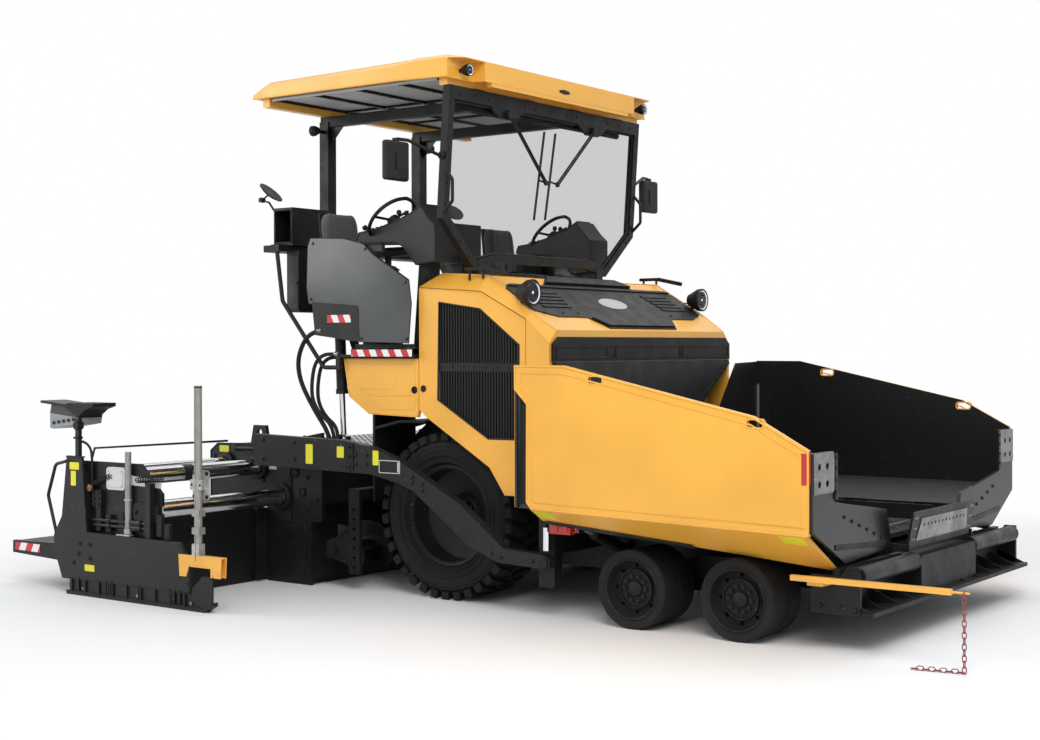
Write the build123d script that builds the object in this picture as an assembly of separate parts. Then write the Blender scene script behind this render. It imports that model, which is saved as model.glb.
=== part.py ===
from build123d import *
import os
from math import cos, hypot, radians, sin

# Wheeled asphalt paver with a folding front hopper, an operator's platform under a canopy and a
# screed with two sliding extensions, towed on two arms.
# Millimetres, +Z up, +X towards the hopper, +Y to the machine's left.
# Every x below is measured from the drive axle. At the end all pieces move back by ORIGIN_X,
# so that the stored origin is on the ground, halfway along and across the machine.

# Overall stations along the machine
REAR_X = -3160
GUIDE_TIP_X = 3930
ORIGIN_X = (REAR_X + GUIDE_TIP_X) / 2

# General fits
FIT = 0.1
SEAT_GAP = 0.3
SKIN = 30

# Drive wheels
DRIVE_R = 585
DRIVE_W = 430
DRIVE_OUT_Y = 1172
DRIVE_RIM_R = 365
LUG_H = 28
LUG_COUNT = 34
AXLE_R = 60

# Bogie wheels
BOGIE_R = 250
BOGIE_OUT_Y = 1398
BOGIE_W = 368
BOGIE_X = (1699, 2448)
BOGIE_RUBBER = 47
KINGPIN_Y = 930
KINGPIN_R = 28
STUB_R = 40

# Main frame
FRAME_Y = 700
FRAME_T = 40
FRAME_REAR_X = -690
FRAME_FRONT_X = 2900

# Bodywork
BODY_Y = 1215
BODY_REAR_X = -190
BODY_FRONT_X = 940
DOOR_FRONT_X = 745
PANEL_REAR_X = -915

# Platform and canopy
DECK_Z = 1720
DECK_Y = 1200
ROOF_Y = 1275

# Hopper
WING_Y = 1640
WING_T = 25
WING_REAR_X = 968
WING_FRONT_X = 3050
WING_HINGE_Y = 550
WING_HINGE_Z = 660
HINGE_PIN_R = 15
BED_Y = 500

# Push beam
ROLLER_X = 3180
ROLLER_Z = 440
ROLLER_R = 55
ROLLER_IN_Y = 470
ROLLER_OUT_Y = 1287
ROLLER_PIN_R = 18

# Tow arms and screed
ARM_Y = 1425
ARM_T = 70
TOW_X = 1067
TOW_Z = 376
TOW_PIN_R = 35
SCREED_Y = 1225
SCREED_FRONT_X = -1240
GATE_BAND = 52
EXT_FRONT_X = -1750
GATE_Y = 2487
GATE_T = 20
GATE_FRONT_X = -1110
AUGER_X = -1000
AUGER_Z = 290
AUGER_R = 180
AUGER_SHAFT_R = 38
LIFT_ROD_R = 22
GROUND = 3


def block(x0, x1, y0, y1, z0, z1):
    """A box between two corners."""
    size = (abs(x1 - x0), abs(y1 - y0), abs(z1 - z0))
    middle = ((x0 + x1) / 2, (y0 + y1) / 2, (z0 + z1) / 2)
    return Solid.make_box(*size, Plane(origin=[m - s / 2 for m, s in zip(middle, size)]))


def polygon(points):
    return Face(Wire.make_polygon([Vector(*p) for p in points], close=True))


def prism_y(points, y0, y1):
    """An (x, z) outline drawn out from y0 to y1."""
    return Solid.extrude(polygon([(x, y0, z) for x, z in points]), Vector(0, y1 - y0, 0))


def prism_x(points, x0, x1):
    """A (y, z) outline drawn out from x0 to x1."""
    return Solid.extrude(polygon([(x0, y, z) for y, z in points]), Vector(x1 - x0, 0, 0))


def prism_z(points, z0, z1):
    """An (x, y) outline drawn out from z0 to z1."""
    return Solid.extrude(polygon([(x, y, z0) for x, y in points]), Vector(0, 0, z1 - z0))


def rod(start, end, radius):
    """A round bar from one point to another."""
    start, end = Vector(*start), Vector(*end)
    axis = end - start
    return Solid.make_cylinder(radius, axis.length, Plane(origin=start, z_dir=axis))


def tube(start, end, outer, inner):
    return rod(start, end, outer) - rod(start, end, inner)


def bent_bar(points, radius, bend):
    """A round bar along straight runs joined by arcs."""
    path = FilletPolyline(*points, radius=bend)
    along = Vector(*points[1]) - Vector(*points[0])
    return sweep(Plane(origin=points[0], z_dir=along) * Circle(radius), path=path)


def turned_y(profile, x, z):
    """A (radius, y) profile turned about an axis along Y through (x, z)."""
    face = polygon([(x + r, y, z) for r, y in profile])
    return Solid.revolve(face, 360, Axis((x, 0, z), (0, 1, 0)))


def turned_x(profile, x, y, z):
    """An (x, radius) profile turned about an axis along X through (y, z)."""
    face = polygon([(x + px, y, z + r) for px, r in profile])
    return Solid.revolve(face, 360, Axis((x, y, z), (1, 0, 0)))


def mirrored(points):
    """A half outline with positive first values, closed by its mirror image."""
    return [(-a, b) for a, b in points] + [(a, b) for a, b in reversed(points)]


def other_side(shape):
    """The same piece on the machine's other side."""
    return shape.mirror(Plane.XZ)


def joined(pieces):
    result = pieces[0]
    for piece in pieces[1:]:
        result = result + piece
    return result


def common(first, second):
    """The solids that two pieces share."""
    return (first & second).solids()


def write(name, pieces):
    """One STEP file for a node, moved to the stored origin."""
    solids = []
    for piece in pieces if isinstance(pieces, (list, tuple)) else [pieces]:
        solids.extend(piece.solids())
    moved = [solid.moved(Location((-ORIGIN_X, 0, 0))) for solid in solids]
    shape = moved[0] if len(moved) == 1 else Compound(children=moved)
    export_step(shape, os.path.join("parts", name + ".step"))


def write_pair(name, shape):
    """A right-hand piece, at -Y, and the same piece on the left."""
    write(name + "_right", shape)
    write(name + "_left", [other_side(piece) for piece in shape] if isinstance(shape, list) else other_side(shape))


os.makedirs("parts", exist_ok=True)

# Main frame: two side plates, cross plates, tow columns and auger supports.
AXLE_HOUSING_R = 130
TOW_COLUMN_X = (977, 1102)
TOW_COLUMN_Y = (1300, 1385)
BOGIE_PIVOT_X = sum(BOGIE_X) / 2
BOGIE_PIVOT_Z = 330
BOGIE_PIVOT_R = 60
AUGER_BRACKET_X = (-850, -745)
AUGER_HANGER_Y = (560, 620)
AUGER_END_Y = (1208, 1236)
TOW_ROD_Z = (440, 645)
TOW_ROD_R = 14
ARCH_Y = 1150
FRAME_INNER = FRAME_Y - FRAME_T


def make_chassis():
    side_outline = [
        (FRAME_REAR_X, 420),
        (-250, 250),
        (FRAME_FRONT_X, 250),
        (FRAME_FRONT_X, 520),
        (935, 520),
        (920, 900),
        (920, 1250),
        (-500, 1250),
        (FRAME_REAR_X, 1100),
    ]
    pieces = [prism_y(side_outline, -FRAME_Y, -FRAME_INNER)]
    pieces.append(prism_y(side_outline, FRAME_INNER, FRAME_Y))
    lap = FRAME_INNER + 5
    # Cross plates: first x, last x, low z, high z
    for x0, x1, z0, z1 in (
        (FRAME_REAR_X, FRAME_REAR_X + 30, 430, 1090),
        (300, 330, 260, 520),
        (1180, 1210, 260, 500),
        (2860, FRAME_FRONT_X, 260, 500),
        (-500, 900, 1220, 1250),
        (-240, 2880, 250, 270),
    ):
        pieces.append(block(x0, x1, -lap, lap, z0, z1))
    pieces.append(rod((0, -lap, DRIVE_R), (0, lap, DRIVE_R), AXLE_HOUSING_R))
    for side in (-1, 1):
        # Drive axle flange and stub
        pieces.append(rod((0, side * lap, DRIVE_R), (0, side * (FRAME_Y + 25), DRIVE_R), 170))
        pieces.append(rod((0, side * FRAME_Y, DRIVE_R), (0, side * (DRIVE_OUT_Y - 150), DRIVE_R), AXLE_R))
        # Tow column on its cross beam, with the pin that the arm turns on
        pieces.append(block(990, 1090, side * lap, side * (TOW_COLUMN_Y[0] + 5), 420, 560))
        pieces.append(block(*TOW_COLUMN_X, side * TOW_COLUMN_Y[0], side * TOW_COLUMN_Y[1], 204, 642))
        pieces.append(rod((TOW_X, side * (TOW_COLUMN_Y[0] + 5), TOW_Z),
                          (TOW_X, side * (ARM_Y + ARM_T / 2 + 12), TOW_Z), TOW_PIN_R))
        # Rod of the levelling cylinder above the tow pin
        pieces.append(block(TOW_X - 27, TOW_X + 27, side * (TOW_COLUMN_Y[1] - 5), side * (ARM_Y + 20), 640, 658))
        pieces.append(block(TOW_COLUMN_X[0], TOW_COLUMN_X[1], side * TOW_COLUMN_Y[0], side * TOW_COLUMN_Y[1], 635, 658))
        pieces.append(rod((TOW_X, side * ARM_Y, TOW_ROD_Z[0]), (TOW_X, side * ARM_Y, TOW_ROD_Z[1]), TOW_ROD_R))
        # Auger's outer bearing on a drilled bar, carried by a beam from the frame
        pieces.append(block(*AUGER_BRACKET_X, side * (FRAME_Y - 5), side * AUGER_END_Y[1], 660, 740))
        bar = block(*AUGER_BRACKET_X, side * AUGER_END_Y[0], side * AUGER_END_Y[1], 120, 740)
        for z in range(170, 650, 70):
            bar = bar - rod((-797, side * 1190, z), (-797, side * 1260, z), 13)
        pieces.append(bar)
        pieces.append(prism_y([(AUGER_X - 75, AUGER_Z - 60), (AUGER_X + 20, AUGER_Z - 75), (AUGER_BRACKET_X[0] + 5, 180),
                               (AUGER_BRACKET_X[0] + 5, 420), (AUGER_X - 30, AUGER_Z + 75), (AUGER_X - 75, AUGER_Z + 50)],
                              side * AUGER_END_Y[0], side * AUGER_END_Y[1]))
        # Wheel arch: a plate behind the tyre and a cover over it
        pieces.append(block(FRAME_REAR_X, FRAME_REAR_X + 20, side * (FRAME_Y - 5), side * ARCH_Y, 650, 1690))
        pieces.append(prism_y([(FRAME_REAR_X, 1190), (-430, 1250), (-200, 1250), (-200, 1235), (-430, 1232),
                               (FRAME_REAR_X, 1170)], side * (FRAME_Y - 5), side * ARCH_Y))
        # Bogie pivot
        pieces.append(rod((BOGIE_PIVOT_X, side * lap, BOGIE_PIVOT_Z),
                          (BOGIE_PIVOT_X, side * BOGIE_BEAM_Y[0], BOGIE_PIVOT_Z), BOGIE_PIVOT_R))
        # Auger hanger: a leg at the frame's rear with a bearing plate behind it
        pieces.append(block(AUGER_BRACKET_X[0], FRAME_REAR_X + 5, side * AUGER_HANGER_Y[0],
                            side * AUGER_HANGER_Y[1], 560, 760))
        pieces.append(prism_y([(AUGER_X - 70, AUGER_Z - 70), (AUGER_X + 70, AUGER_Z - 70),
                               (AUGER_BRACKET_X[1], 560), (AUGER_BRACKET_X[1], 620),
                               (AUGER_BRACKET_X[0], 620), (AUGER_X - 70, AUGER_Z + 70)],
                              side * AUGER_HANGER_Y[0], side * AUGER_HANGER_Y[1]))
        # Ears and pin for the wing's cylinder
        for x in (WING_CYL_X - 40, WING_CYL_X + 28):
            pieces.append(block(x, x + 12, side * (FRAME_Y - 5), -side * (WING_CYL_FOOT[0] - 30), 368, 432))
        pieces.append(rod((WING_CYL_X - 39, -side * WING_CYL_FOOT[0], WING_CYL_FOOT[1]),
                          (WING_CYL_X + 39, -side * WING_CYL_FOOT[0], WING_CYL_FOOT[1]), WING_CYL_PIN_R))
    result = joined(pieces)
    return result - rod((AUGER_X, -AUGER_END_Y[1] - 5, AUGER_Z), (AUGER_X, AUGER_END_Y[1] + 5, AUGER_Z),
                        AUGER_SHAFT_R + FIT)


BOGIE_BEAM_Y = (815, 900)
WING_CYL_X = 1240
WING_CYL_FOOT = (-760, 400)
WING_CYL_EYE = (-1300, 610)
WING_CYL_PIN_R = 18
WING_EYE_PIN_R = 10
WING_EYE_R = 36

ENGINE = block(80, 860, -430, 430, 1250 + SEAT_GAP, 1850)

# Bodywork: hood with its bulkhead, and side skins ahead of and behind the doors.
DOOR_GAP = 6
DOOR_T = 30
DOOR_OUTLINE = [
    (BODY_REAR_X, 1330),
    (-119, 1276),
    (436, 949),
    (566, 765),
    (DOOR_FRONT_X, 765),
    (DOOR_FRONT_X, 1955),
    (360, 2150),
    (BODY_REAR_X, 2190),
]
GRILLE_OUTLINE = [
    (-7, 2085),
    (354, 2032),
    (690, 1785),
    (690, 1147),
    (427, 1147),
    (-18, 1405),
]
SLAT_PITCH = 24
SLAT_W = 13
SLOPE_X = 340
SLOPE_Z = 2268
SLOPE = 0.6375


def slope_z(x):
    """Height of the hood's sloping top."""
    return SLOPE_Z - SLOPE * (x - SLOPE_X)


# Stations of the hood: x, half-width, shoulder half-width, edge height, crown height
HOOD_STATIONS = [
    (BODY_REAR_X, BODY_Y, 970, 2196, 2300),
    (SLOPE_X, BODY_Y, 1100, 2158, SLOPE_Z),
    (DOOR_FRONT_X + DOOR_GAP, BODY_Y, 1165, 1962, slope_z(DOOR_FRONT_X + DOOR_GAP)),
    (BODY_FRONT_X, 1210, 1130, 1800, slope_z(BODY_FRONT_X)),
]
HOOD_LOW_Z = 1600
HINGE_R = 9
HINGES_Z = ((1000, 1080), (1440, 1520))


def hood_z(x, y):
    """Height of the hood's skin at a place, on its top or its side chamfer."""
    for first, last in zip(HOOD_STATIONS, HOOD_STATIONS[1:]):
        if first[0] <= x <= last[0]:
            share = (x - first[0]) / (last[0] - first[0])
            half, shoulder, edge, crown = (a + share * (b - a) for a, b in zip(first[1:], last[1:]))
            if abs(y) <= shoulder:
                return crown
            return crown - (crown - edge) * (abs(y) - shoulder) / (half - shoulder)


def hood_section(x, half, shoulder, edge, crown, wall):
    return polygon([
        (x, -half + wall, HOOD_LOW_Z),
        (x, -half + wall, edge - wall / 2),
        (x, -shoulder + wall / 2, crown - wall),
        (x, shoulder - wall / 2, crown - wall),
        (x, half - wall, edge - wall / 2),
        (x, half - wall, HOOD_LOW_Z),
    ]).outer_wire()


def make_bodywork():
    hood = Solid.make_loft([hood_section(*station, 0) for station in HOOD_STATIONS], ruled=True)
    first, last = list(HOOD_STATIONS[0]), list(HOOD_STATIONS[-1])
    first[0] += SKIN
    last[0] -= SKIN
    inner = [first] + [list(s) for s in HOOD_STATIONS[1:-1]] + [last]
    hollow = Solid.make_loft([hood_section(*station, SKIN) for station in inner], ruled=True)
    hood = hood - hollow
    pieces = [hood]
    for side in (-1, 1):
        # Side skin ahead of the door, down beside the hopper's rear wall
        pieces.append(prism_y([(DOOR_FRONT_X + DOOR_GAP, 765), (BODY_FRONT_X, 765),
                               (BODY_FRONT_X, 1780), (DOOR_FRONT_X + DOOR_GAP, 1940)],
                              side * (BODY_Y - DOOR_T), side * BODY_Y))
        pieces.append(block(DOOR_FRONT_X + DOOR_GAP, BODY_FRONT_X, side * (FRAME_Y + SEAT_GAP),
                            side * (BODY_Y - DOOR_T + 5), 765, 795))
    # Bulkhead under the hood's rear edge, joining the side panels behind the doors
    pieces.append(block(BODY_REAR_X - 60, BODY_REAR_X + SKIN, -BODY_Y + DOOR_T, BODY_Y - DOOR_T, 1320, 1700))
    pieces.append(block(BODY_REAR_X, BODY_REAR_X + SKIN, -BODY_Y + DOOR_T + 5, BODY_Y - DOOR_T - 5, 1690, 1720))
    for side in (-1, 1):
        pieces.append(prism_y([(PANEL_REAR_X, 1690), (-864, 1416), (-667, 1290), (-206, 1276),
                               (BODY_REAR_X - DOOR_GAP, 1320), (BODY_REAR_X - DOOR_GAP, 1690)],
                              side * BODY_Y, side * (BODY_Y - DOOR_T)))
        pieces.append(block(BODY_REAR_X - 60, BODY_REAR_X - DOOR_GAP, side * (BODY_Y - DOOR_T - 5),
                            side * (BODY_Y - 5), 1340, 1690))
    result = joined(pieces)
    # Recess for each side door
    for side in (-1, 1):
        gap = DOOR_GAP
        recess = prism_y([(BODY_REAR_X - gap, HOOD_LOW_Z - 10), (DOOR_FRONT_X + gap, HOOD_LOW_Z - 10),
                          (DOOR_FRONT_X + gap, 1955 + gap), (360, 2150 + gap), (BODY_REAR_X - gap, 2190 + gap)],
                         side * (BODY_Y - DOOR_T - gap), side * (BODY_Y + 5))
        result = result - recess
        for z0, z1 in HINGES_Z:
            result = result - block(DOOR_FRONT_X - 15, DOOR_FRONT_X + HINGE_R + 5, side * (BODY_Y - 20),
                                    side * (BODY_Y + 20), z0 - 10, z1 + 10)
    return result


FRONT_PANEL_T = 20
HANDLE_Z = 2315


VENT_T = 8
# Half outline of the black cover on the hood's slope: y, x
VENT_HALF = [(0, 350), (450, 350), (600, 440), (1034, 445), (1095, 490), (1100, 735), (900, 800), (560, 800),
             (450, 920), (0, 920)]


def on_slope(outline, low, high):
    """A plate with a (y, x) outline that lies on the hood's slope between two heights above it."""
    length = hypot(SLOPE, 1)
    normal = Vector(SLOPE / length, 0, 1 / length)
    base = [Vector(x, y, slope_z(x)) + normal * low for y, x in outline]
    return Solid.extrude(Face(Wire.make_polygon(base, close=True)), normal * (high - low))


def make_hood_trim():
    """Black panel on the hood's nose, the cover on its slope and two grab handles."""
    pieces = [prism_x([(-1190, 1673), (-1190, 1792), (-1122, 1839), (1122, 1839), (1190, 1792), (1190, 1673)],
                      BODY_FRONT_X + SEAT_GAP, BODY_FRONT_X + FRONT_PANEL_T)]
    cover = on_slope(mirrored(VENT_HALF), SEAT_GAP, VENT_T)
    cover = cover + on_slope(mirrored([(0, 352), (440, 352), (560, 425), (0, 425)]), VENT_T - 2, VENT_T + 22)
    cover = cover + on_slope(mirrored([(0, 450), (1020, 450), (1060, 472), (0, 472)]), VENT_T - 2, VENT_T + 10)
    cover = cover + on_slope(mirrored([(0, 815), (530, 815), (440, 905), (0, 905)]), VENT_T - 2, VENT_T + 14)
    pieces.append(cover)
    for side in (-1, 1):
        y = side * 1130
        handle = rod((165, y, HANDLE_Z), (350, y, HANDLE_Z), 13)
        for x in (200, 320):
            handle = handle + rod((x, y, hood_z(x, y - side * 9) + SEAT_GAP), (x, y, HANDLE_Z), 9)
        pieces.append(handle + rod((335, y, HANDLE_Z), (555, y, HANDLE_Z - 45), 16))
    return pieces


def make_door():
    frame = prism_y(DOOR_OUTLINE, -BODY_Y, -BODY_Y + DOOR_T)
    frame = frame - prism_y(GRILLE_OUTLINE, -BODY_Y - 5, -BODY_Y + DOOR_T + 5)
    for z0, z1 in HINGES_Z:
        frame = frame + rod((DOOR_FRONT_X, -BODY_Y, z0), (DOOR_FRONT_X, -BODY_Y, z1), HINGE_R)
    return frame


def make_grille():
    """Upright slats on a thin back plate, set into the door's opening."""
    low, high = -BODY_Y + 6, -BODY_Y + DOOR_T - 2
    middle_x, middle_z = 340, 1620
    inset = 1 - SEAT_GAP / 250
    outline = [(middle_x + (x - middle_x) * inset, middle_z + (z - middle_z) * inset) for x, z in GRILLE_OUTLINE]
    pieces = [prism_y(outline, high - 6, high)]
    slats = prism_y(outline, low, high - 3)
    pieces.extend(common(slats, block(-40, 720, low + 2, high - 3, 1600, 1665)))
    for count in range(int(690 / SLAT_PITCH) + 1):
        x = -5 + count * SLAT_PITCH
        pieces.extend(common(slats, block(x, x + SLAT_W, low, high - 3, 1100, 2120)))
    return joined(pieces)


# Operator's platform: deck, step skirts and the rear box that carries the canopy's rear posts.
LIFT_Y = 1130
LIFT_TOP = (-1040, 2105)
LIFT_EYE = (-995, 1075)
LIFT_PIN_R = 20
LIFT_EYE_R = 42
REAR_POST_X = -1700
REAR_POST_Y = 556
BEAM_X = (-1760, -1640)
BEAM_Z = (2500, 2552)
SKIRT_Y = 1275
RAILS_X = ((-830, -790), (-330, -290))
RAIL_Z = 1765
TUBE_Y = 1242
TUBE_R = 16


def make_platform():
    under = 1700 + SEAT_GAP
    front = BODY_REAR_X - SEAT_GAP
    pieces = [block(-930, front, -1075, 1075, under, DECK_Z), block(-830, front, -DECK_Y, DECK_Y, under, DECK_Z)]
    for side in (-1, 1):
        # Skirt under the deck's edge
        pieces.append(block(-787, -200, side * SKIRT_Y, side * (SKIRT_Y - 10), under, 1760))
        pieces.append(block(-787, -200, side * SKIRT_Y, side * (DECK_Y - 5), under, DECK_Z))
        pieces.append(prism_y([(-880, 1700), (-1448, BEAM_Z[1]), (BEAM_X[0], BEAM_Z[1]), (BEAM_X[0], BEAM_Z[0]),
                               (-1490, BEAM_Z[0]), (-940, 1700)], side * 600, side * 520))
        pieces.append(block(-860, -400, side * 300, side * 340, 1250 + SEAT_GAP, 1705))
        # Rails that the station slides on
        for x0, x1 in RAILS_X:
            pieces.append(block(x0, x1, side * 760, side * DECK_Y, DECK_Z - 5, RAIL_Z))
        # Ear and pin that the screed's lift cylinder hangs from
        pieces.append(prism_y([(LIFT_TOP[0] - 50, 2060), (LIFT_TOP[0] - 50, 2150), (LIFT_TOP[0] + 40, 2150),
                               (-905, 1760), (-905, under), (-940, under)], side * 1075, side * 1050))
        pieces.append(rod((LIFT_TOP[0], side * 1055, LIFT_TOP[1]), (LIFT_TOP[0], side * (LIFT_Y + 45), LIFT_TOP[1]),
                          LIFT_PIN_R))
        # Outer frame tube from the rear beam down to the deck, on a flat hanger
        pieces.append(bent_bar([(-1579, side * TUBE_Y, BEAM_Z[1] - 5), (-1514, side * TUBE_Y, 2122),
                                (-1090, side * TUBE_Y, 1625), (-925, side * TUBE_Y, 1625)], TUBE_R, 50))
        pieces.append(block(-955, -915, side * (TUBE_Y - TUBE_R), side * (TUBE_Y + TUBE_R), 1610, DECK_Z))
        pieces.append(block(-955, -780, side * (TUBE_Y - TUBE_R), side * (TUBE_Y + TUBE_R), under, DECK_Z))
        pieces.append(block(-1620, -1540, side * 1150, side * (TUBE_Y + TUBE_R), *BEAM_Z))
        # Open storage box on the beam and a cabinet below it
        box = block(-1700, -1500, side * 765, side * 1150, BEAM_Z[1] - 5, 2836)
        pieces.append(box - block(-1685, -1515, side * 790, side * 1160, BEAM_Z[1] + 15, 2816))
        pieces.append(block(-1560, -1430, side * 800, side * 1150, 2040, BEAM_Z[0] + 5))
    pieces.append(block(BEAM_X[0], -1540, -1200, 1200, *BEAM_Z))
    pieces.append(block(front - 45, front, -1100, 1100, DECK_Z - 5, 2280))
    return joined(pieces)


# Canopy: windscreen frame at the front, two posts at the rear, roof above.
SCREEN_OUTLINE = [(-602, 2448), (-829, 2398), (-1162, 2697), (-1162, 3504),
                  (1162, 3504), (1162, 2697), (829, 2398), (602, 2448)]
SCREEN_X = 10
SCREEN_TOP_X = 66
SCREEN_LOW_Z = 2697
SCREEN_LEAN = (SCREEN_TOP_X - SCREEN_X) / (3504 - SCREEN_LOW_Z)
FRAME_TOP_Z = 3600


def on_screen(y, z, shift):
    """A point on the leaning windscreen, shifted along X."""
    return (SCREEN_X + SCREEN_LEAN * (z - SCREEN_LOW_Z) + shift, y, z)


def make_canopy_frame():
    top = FRAME_TOP_Z - SEAT_GAP
    outer = [(-590, 2388), (-850, 2335), (-1222, 2672), (-1222, top), (1222, top), (1222, 2672), (850, 2335), (590, 2388)]
    ring = Solid.extrude(polygon([on_screen(y, z, -30) for y, z in outer]), Vector(60, 0, 0))
    hole = Solid.extrude(polygon([on_screen(y, z, -60) for y, z in SCREEN_OUTLINE]), Vector(120, 0, 0))
    pieces = [ring - hole]
    for side in (-1, 1):
        # Feet on the hood, rear post, roof rail, wiper's tab and side handle
        pieces.append(block(-60, 20, side * 720, side * 800, 2292.5, 2400))
        pieces.append(block(REAR_POST_X - 46, REAR_POST_X + 46, side * (REAR_POST_Y - 46),
                            side * (REAR_POST_Y + 46), BEAM_Z[1] + SEAT_GAP, 3560))
        pieces.append(block(REAR_POST_X - 46, 60, side * (REAR_POST_Y - 35),
                            side * (REAR_POST_Y + 35), 3520, top))
        tab = [(330, 3510), (760, 3510), (640, 3430), (480, 3430)]
        pieces.append(Solid.extrude(polygon([on_screen(side * y, z, TAB_X[0]) for y, z in tab]),
                                    Vector(TAB_X[1] - TAB_X[0], 0, 0)))
        y = side * HANDLE_Y
        pieces.append(bent_bar([(30, y, 3036), (116, y, 2940), (116, y, 2788), (27, y, 2709)], 12, 30))
    return joined(pieces)


TAB_X = (8, 30)
WIPER_OUT = 52
HUB_R = 30
HANDLE_Y = 1214
# One wiper: its pivot, the arm's end and the blade's ends as (y, z), and the spread of its two bars
WIPERS = [
    {"pivot": (-552, 3465), "end": (-60, 3010), "blade": ((-67, 3397), (-141, 2727))},
    {"pivot": (552, 3465), "end": (90, 3010), "blade": ((76, 3398), (0, 2736))},
]


def make_wipers():
    """Two wipers with double arms, each on a hub on the frame's tab."""
    wipers = []
    for wiper in WIPERS:
        hub_y, hub_z = wiper["pivot"]
        end_y, end_z = wiper["end"]
        out = WIPER_OUT
        # The tab leans forward towards its top, where the hub touches it
        x = on_screen(hub_y, hub_z + HUB_R, TAB_X[1] + SEAT_GAP)[0]
        pieces = [rod((x, hub_y, hub_z), (x + out - TAB_X[1] + 6, hub_y, hub_z), HUB_R)]
        for spread in (-14, 14):
            pieces.append(rod(on_screen(hub_y + spread, hub_z, out), on_screen(end_y + spread, end_z, out), 7))
        low, high = wiper["blade"]
        pieces.append(rod(on_screen(*low, 16), on_screen(*high, 16), 9))
        # Link from the arm's end to the blade's middle
        blade_y = (low[0] + high[0]) / 2 - 6
        pieces.append(rod(on_screen(end_y, end_z, out - 8), on_screen(end_y, end_z, out + 8), 20))
        pieces.append(rod(on_screen(end_y, end_z, out), on_screen(blade_y, end_z + 20, 16), 7))
        wipers.append(joined(pieces))
    return wipers


MIRROR_Y = 1611
MIRROR_Z = 3040


def make_mirror():
    """A housing with a bent arm from the windscreen frame, on the right side."""
    housing = block(-86, -26, -MIRROR_Y - 115, -MIRROR_Y + 115, MIRROR_Z - 135, MIRROR_Z + 135)
    housing = housing.fillet(20, housing.edges())
    arm = bent_bar([(30, -1222 - SEAT_GAP, 3110), (30, -1265, 3110), (-40, -1500, 3190),
                    (-56, -MIRROR_Y, 3190), (-56, -MIRROR_Y, 3150)], 12, 20)
    return housing + arm


def make_windscreen():
    edge = SEAT_GAP
    centre_z = 2950
    points = []
    for y, z in SCREEN_OUTLINE:
        y = y - edge if y > 0 else y + edge
        z = z - edge if z > centre_z else z + edge
        points.append(on_screen(y, z, -5))
    return Solid.extrude(polygon(points), Vector(10, 0, 0))


# Stations of the roof: x, half-width, low z, crease z, shoulder half-width, top z
ROOF_STATIONS = [
    (-1830, 1235, 3672, 3700, 1150, 3725),
    (-1690, 1270, 3665, 3740, 1190, 3790),
    (-320, ROOF_Y, 3660, 3765, 1190, 3808),
    (-230, ROOF_Y, 3655, 3775, 1200, 3815),
    (60, ROOF_Y, 3650, 3780, 1190, 3815),
    (215, 1270, 3640, 3760, 1180, 3780),
]
ROOF_WALL = 35
ROOF_BEAM_X = (REAR_POST_X, 45)
ROOF_BEAM_W = 70
LAMP_NOTCH_X = 120
LAMP_NOTCH_Y = 970


def make_roof():
    """A shallow tray turned over: sloping edges all round, an open underside and notched front corners."""

    def section(station, wall, drop):
        x, half, low, crease, shoulder, top = station
        half, shoulder, crease, top = half - wall, shoulder - wall / 2, crease - wall / 2, top - wall
        return polygon([(x, -half, low - drop), (x, -half, crease), (x, -shoulder, top), (x, shoulder, top),
                        (x, half, crease), (x, half, low - drop)]).outer_wire()

    outer = Solid.make_loft([section(station, 0, 0) for station in ROOF_STATIONS], ruled=True)
    inner = [list(station) for station in ROOF_STATIONS]
    inner[0][0] += ROOF_WALL
    inner[-1][0] = LAMP_NOTCH_X - ROOF_WALL
    cavity = Solid.make_loft([section(station, ROOF_WALL, 10) for station in inner], ruled=True)
    roof = outer - cavity
    # Front fascia with slanted ends between the lamp notches
    roof = roof + prism_x([(-930, 3775), (930, 3775), (880, 3612), (-880, 3612)], 165, 213)
    for side in (-1, 1):
        roof = roof - block(LAMP_NOTCH_X, 240, side * LAMP_NOTCH_Y, side * (ROOF_Y + 20), 3600, 3775)
    # Cross members that rest on the canopy's frame
    for x in ROOF_BEAM_X:
        roof = roof + block(x - ROOF_BEAM_W / 2, x + ROOF_BEAM_W / 2, -1225, 1225, FRAME_TOP_Z, 3700)
    return roof


def make_roof_liner():
    rear, front = (x + side * (ROOF_BEAM_W / 2 + SEAT_GAP) for x, side in zip(ROOF_BEAM_X, (1, -1)))
    return block(rear, front, -1180, 1180, 3668, 3680)


# Work lamps: profile from the back to the lens as (x, radius), then each lamp's place
LAMP_BIG = [(-75, 0), (-75, 45), (-40, 62), (10, 88), (40, 90), (40, 0)]
LAMP_SMALL = [(-45, 0), (-45, 28), (-15, 40), (12, 42), (12, 0)]


def make_work_lamps():
    """Headlamps on the hood, lamps in the roof's notches and two lamps at the rear posts."""
    lamps = []
    for side in (-1, 1):
        y = side * 1130
        head = turned_x(LAMP_BIG, 705, y, 2140)
        foot_z = slope_z(650) + SEAT_GAP
        head = head + prism_y([(650, foot_z), (690, foot_z), (700, 2120), (660, 2120)], y - 15, y + 15)
        lamps.append(head)
        roof_lamp = turned_x(LAMP_SMALL, 195, y, 3700)
        lamps.append(roof_lamp + rod((LAMP_NOTCH_X + SEAT_GAP, y, 3700), (155, y, 3700), 16))
        arm_y = side * (REAR_POST_Y + 46 + SEAT_GAP)
        rear_lamp = turned_x([(-x, r) for x, r in LAMP_SMALL], REAR_POST_X - 15, side * 700, 3480)
        lamps.append(rear_lamp + rod((REAR_POST_X, arm_y, 3480), (REAR_POST_X, side * 690, 3480), 14))
    return lamps


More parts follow.
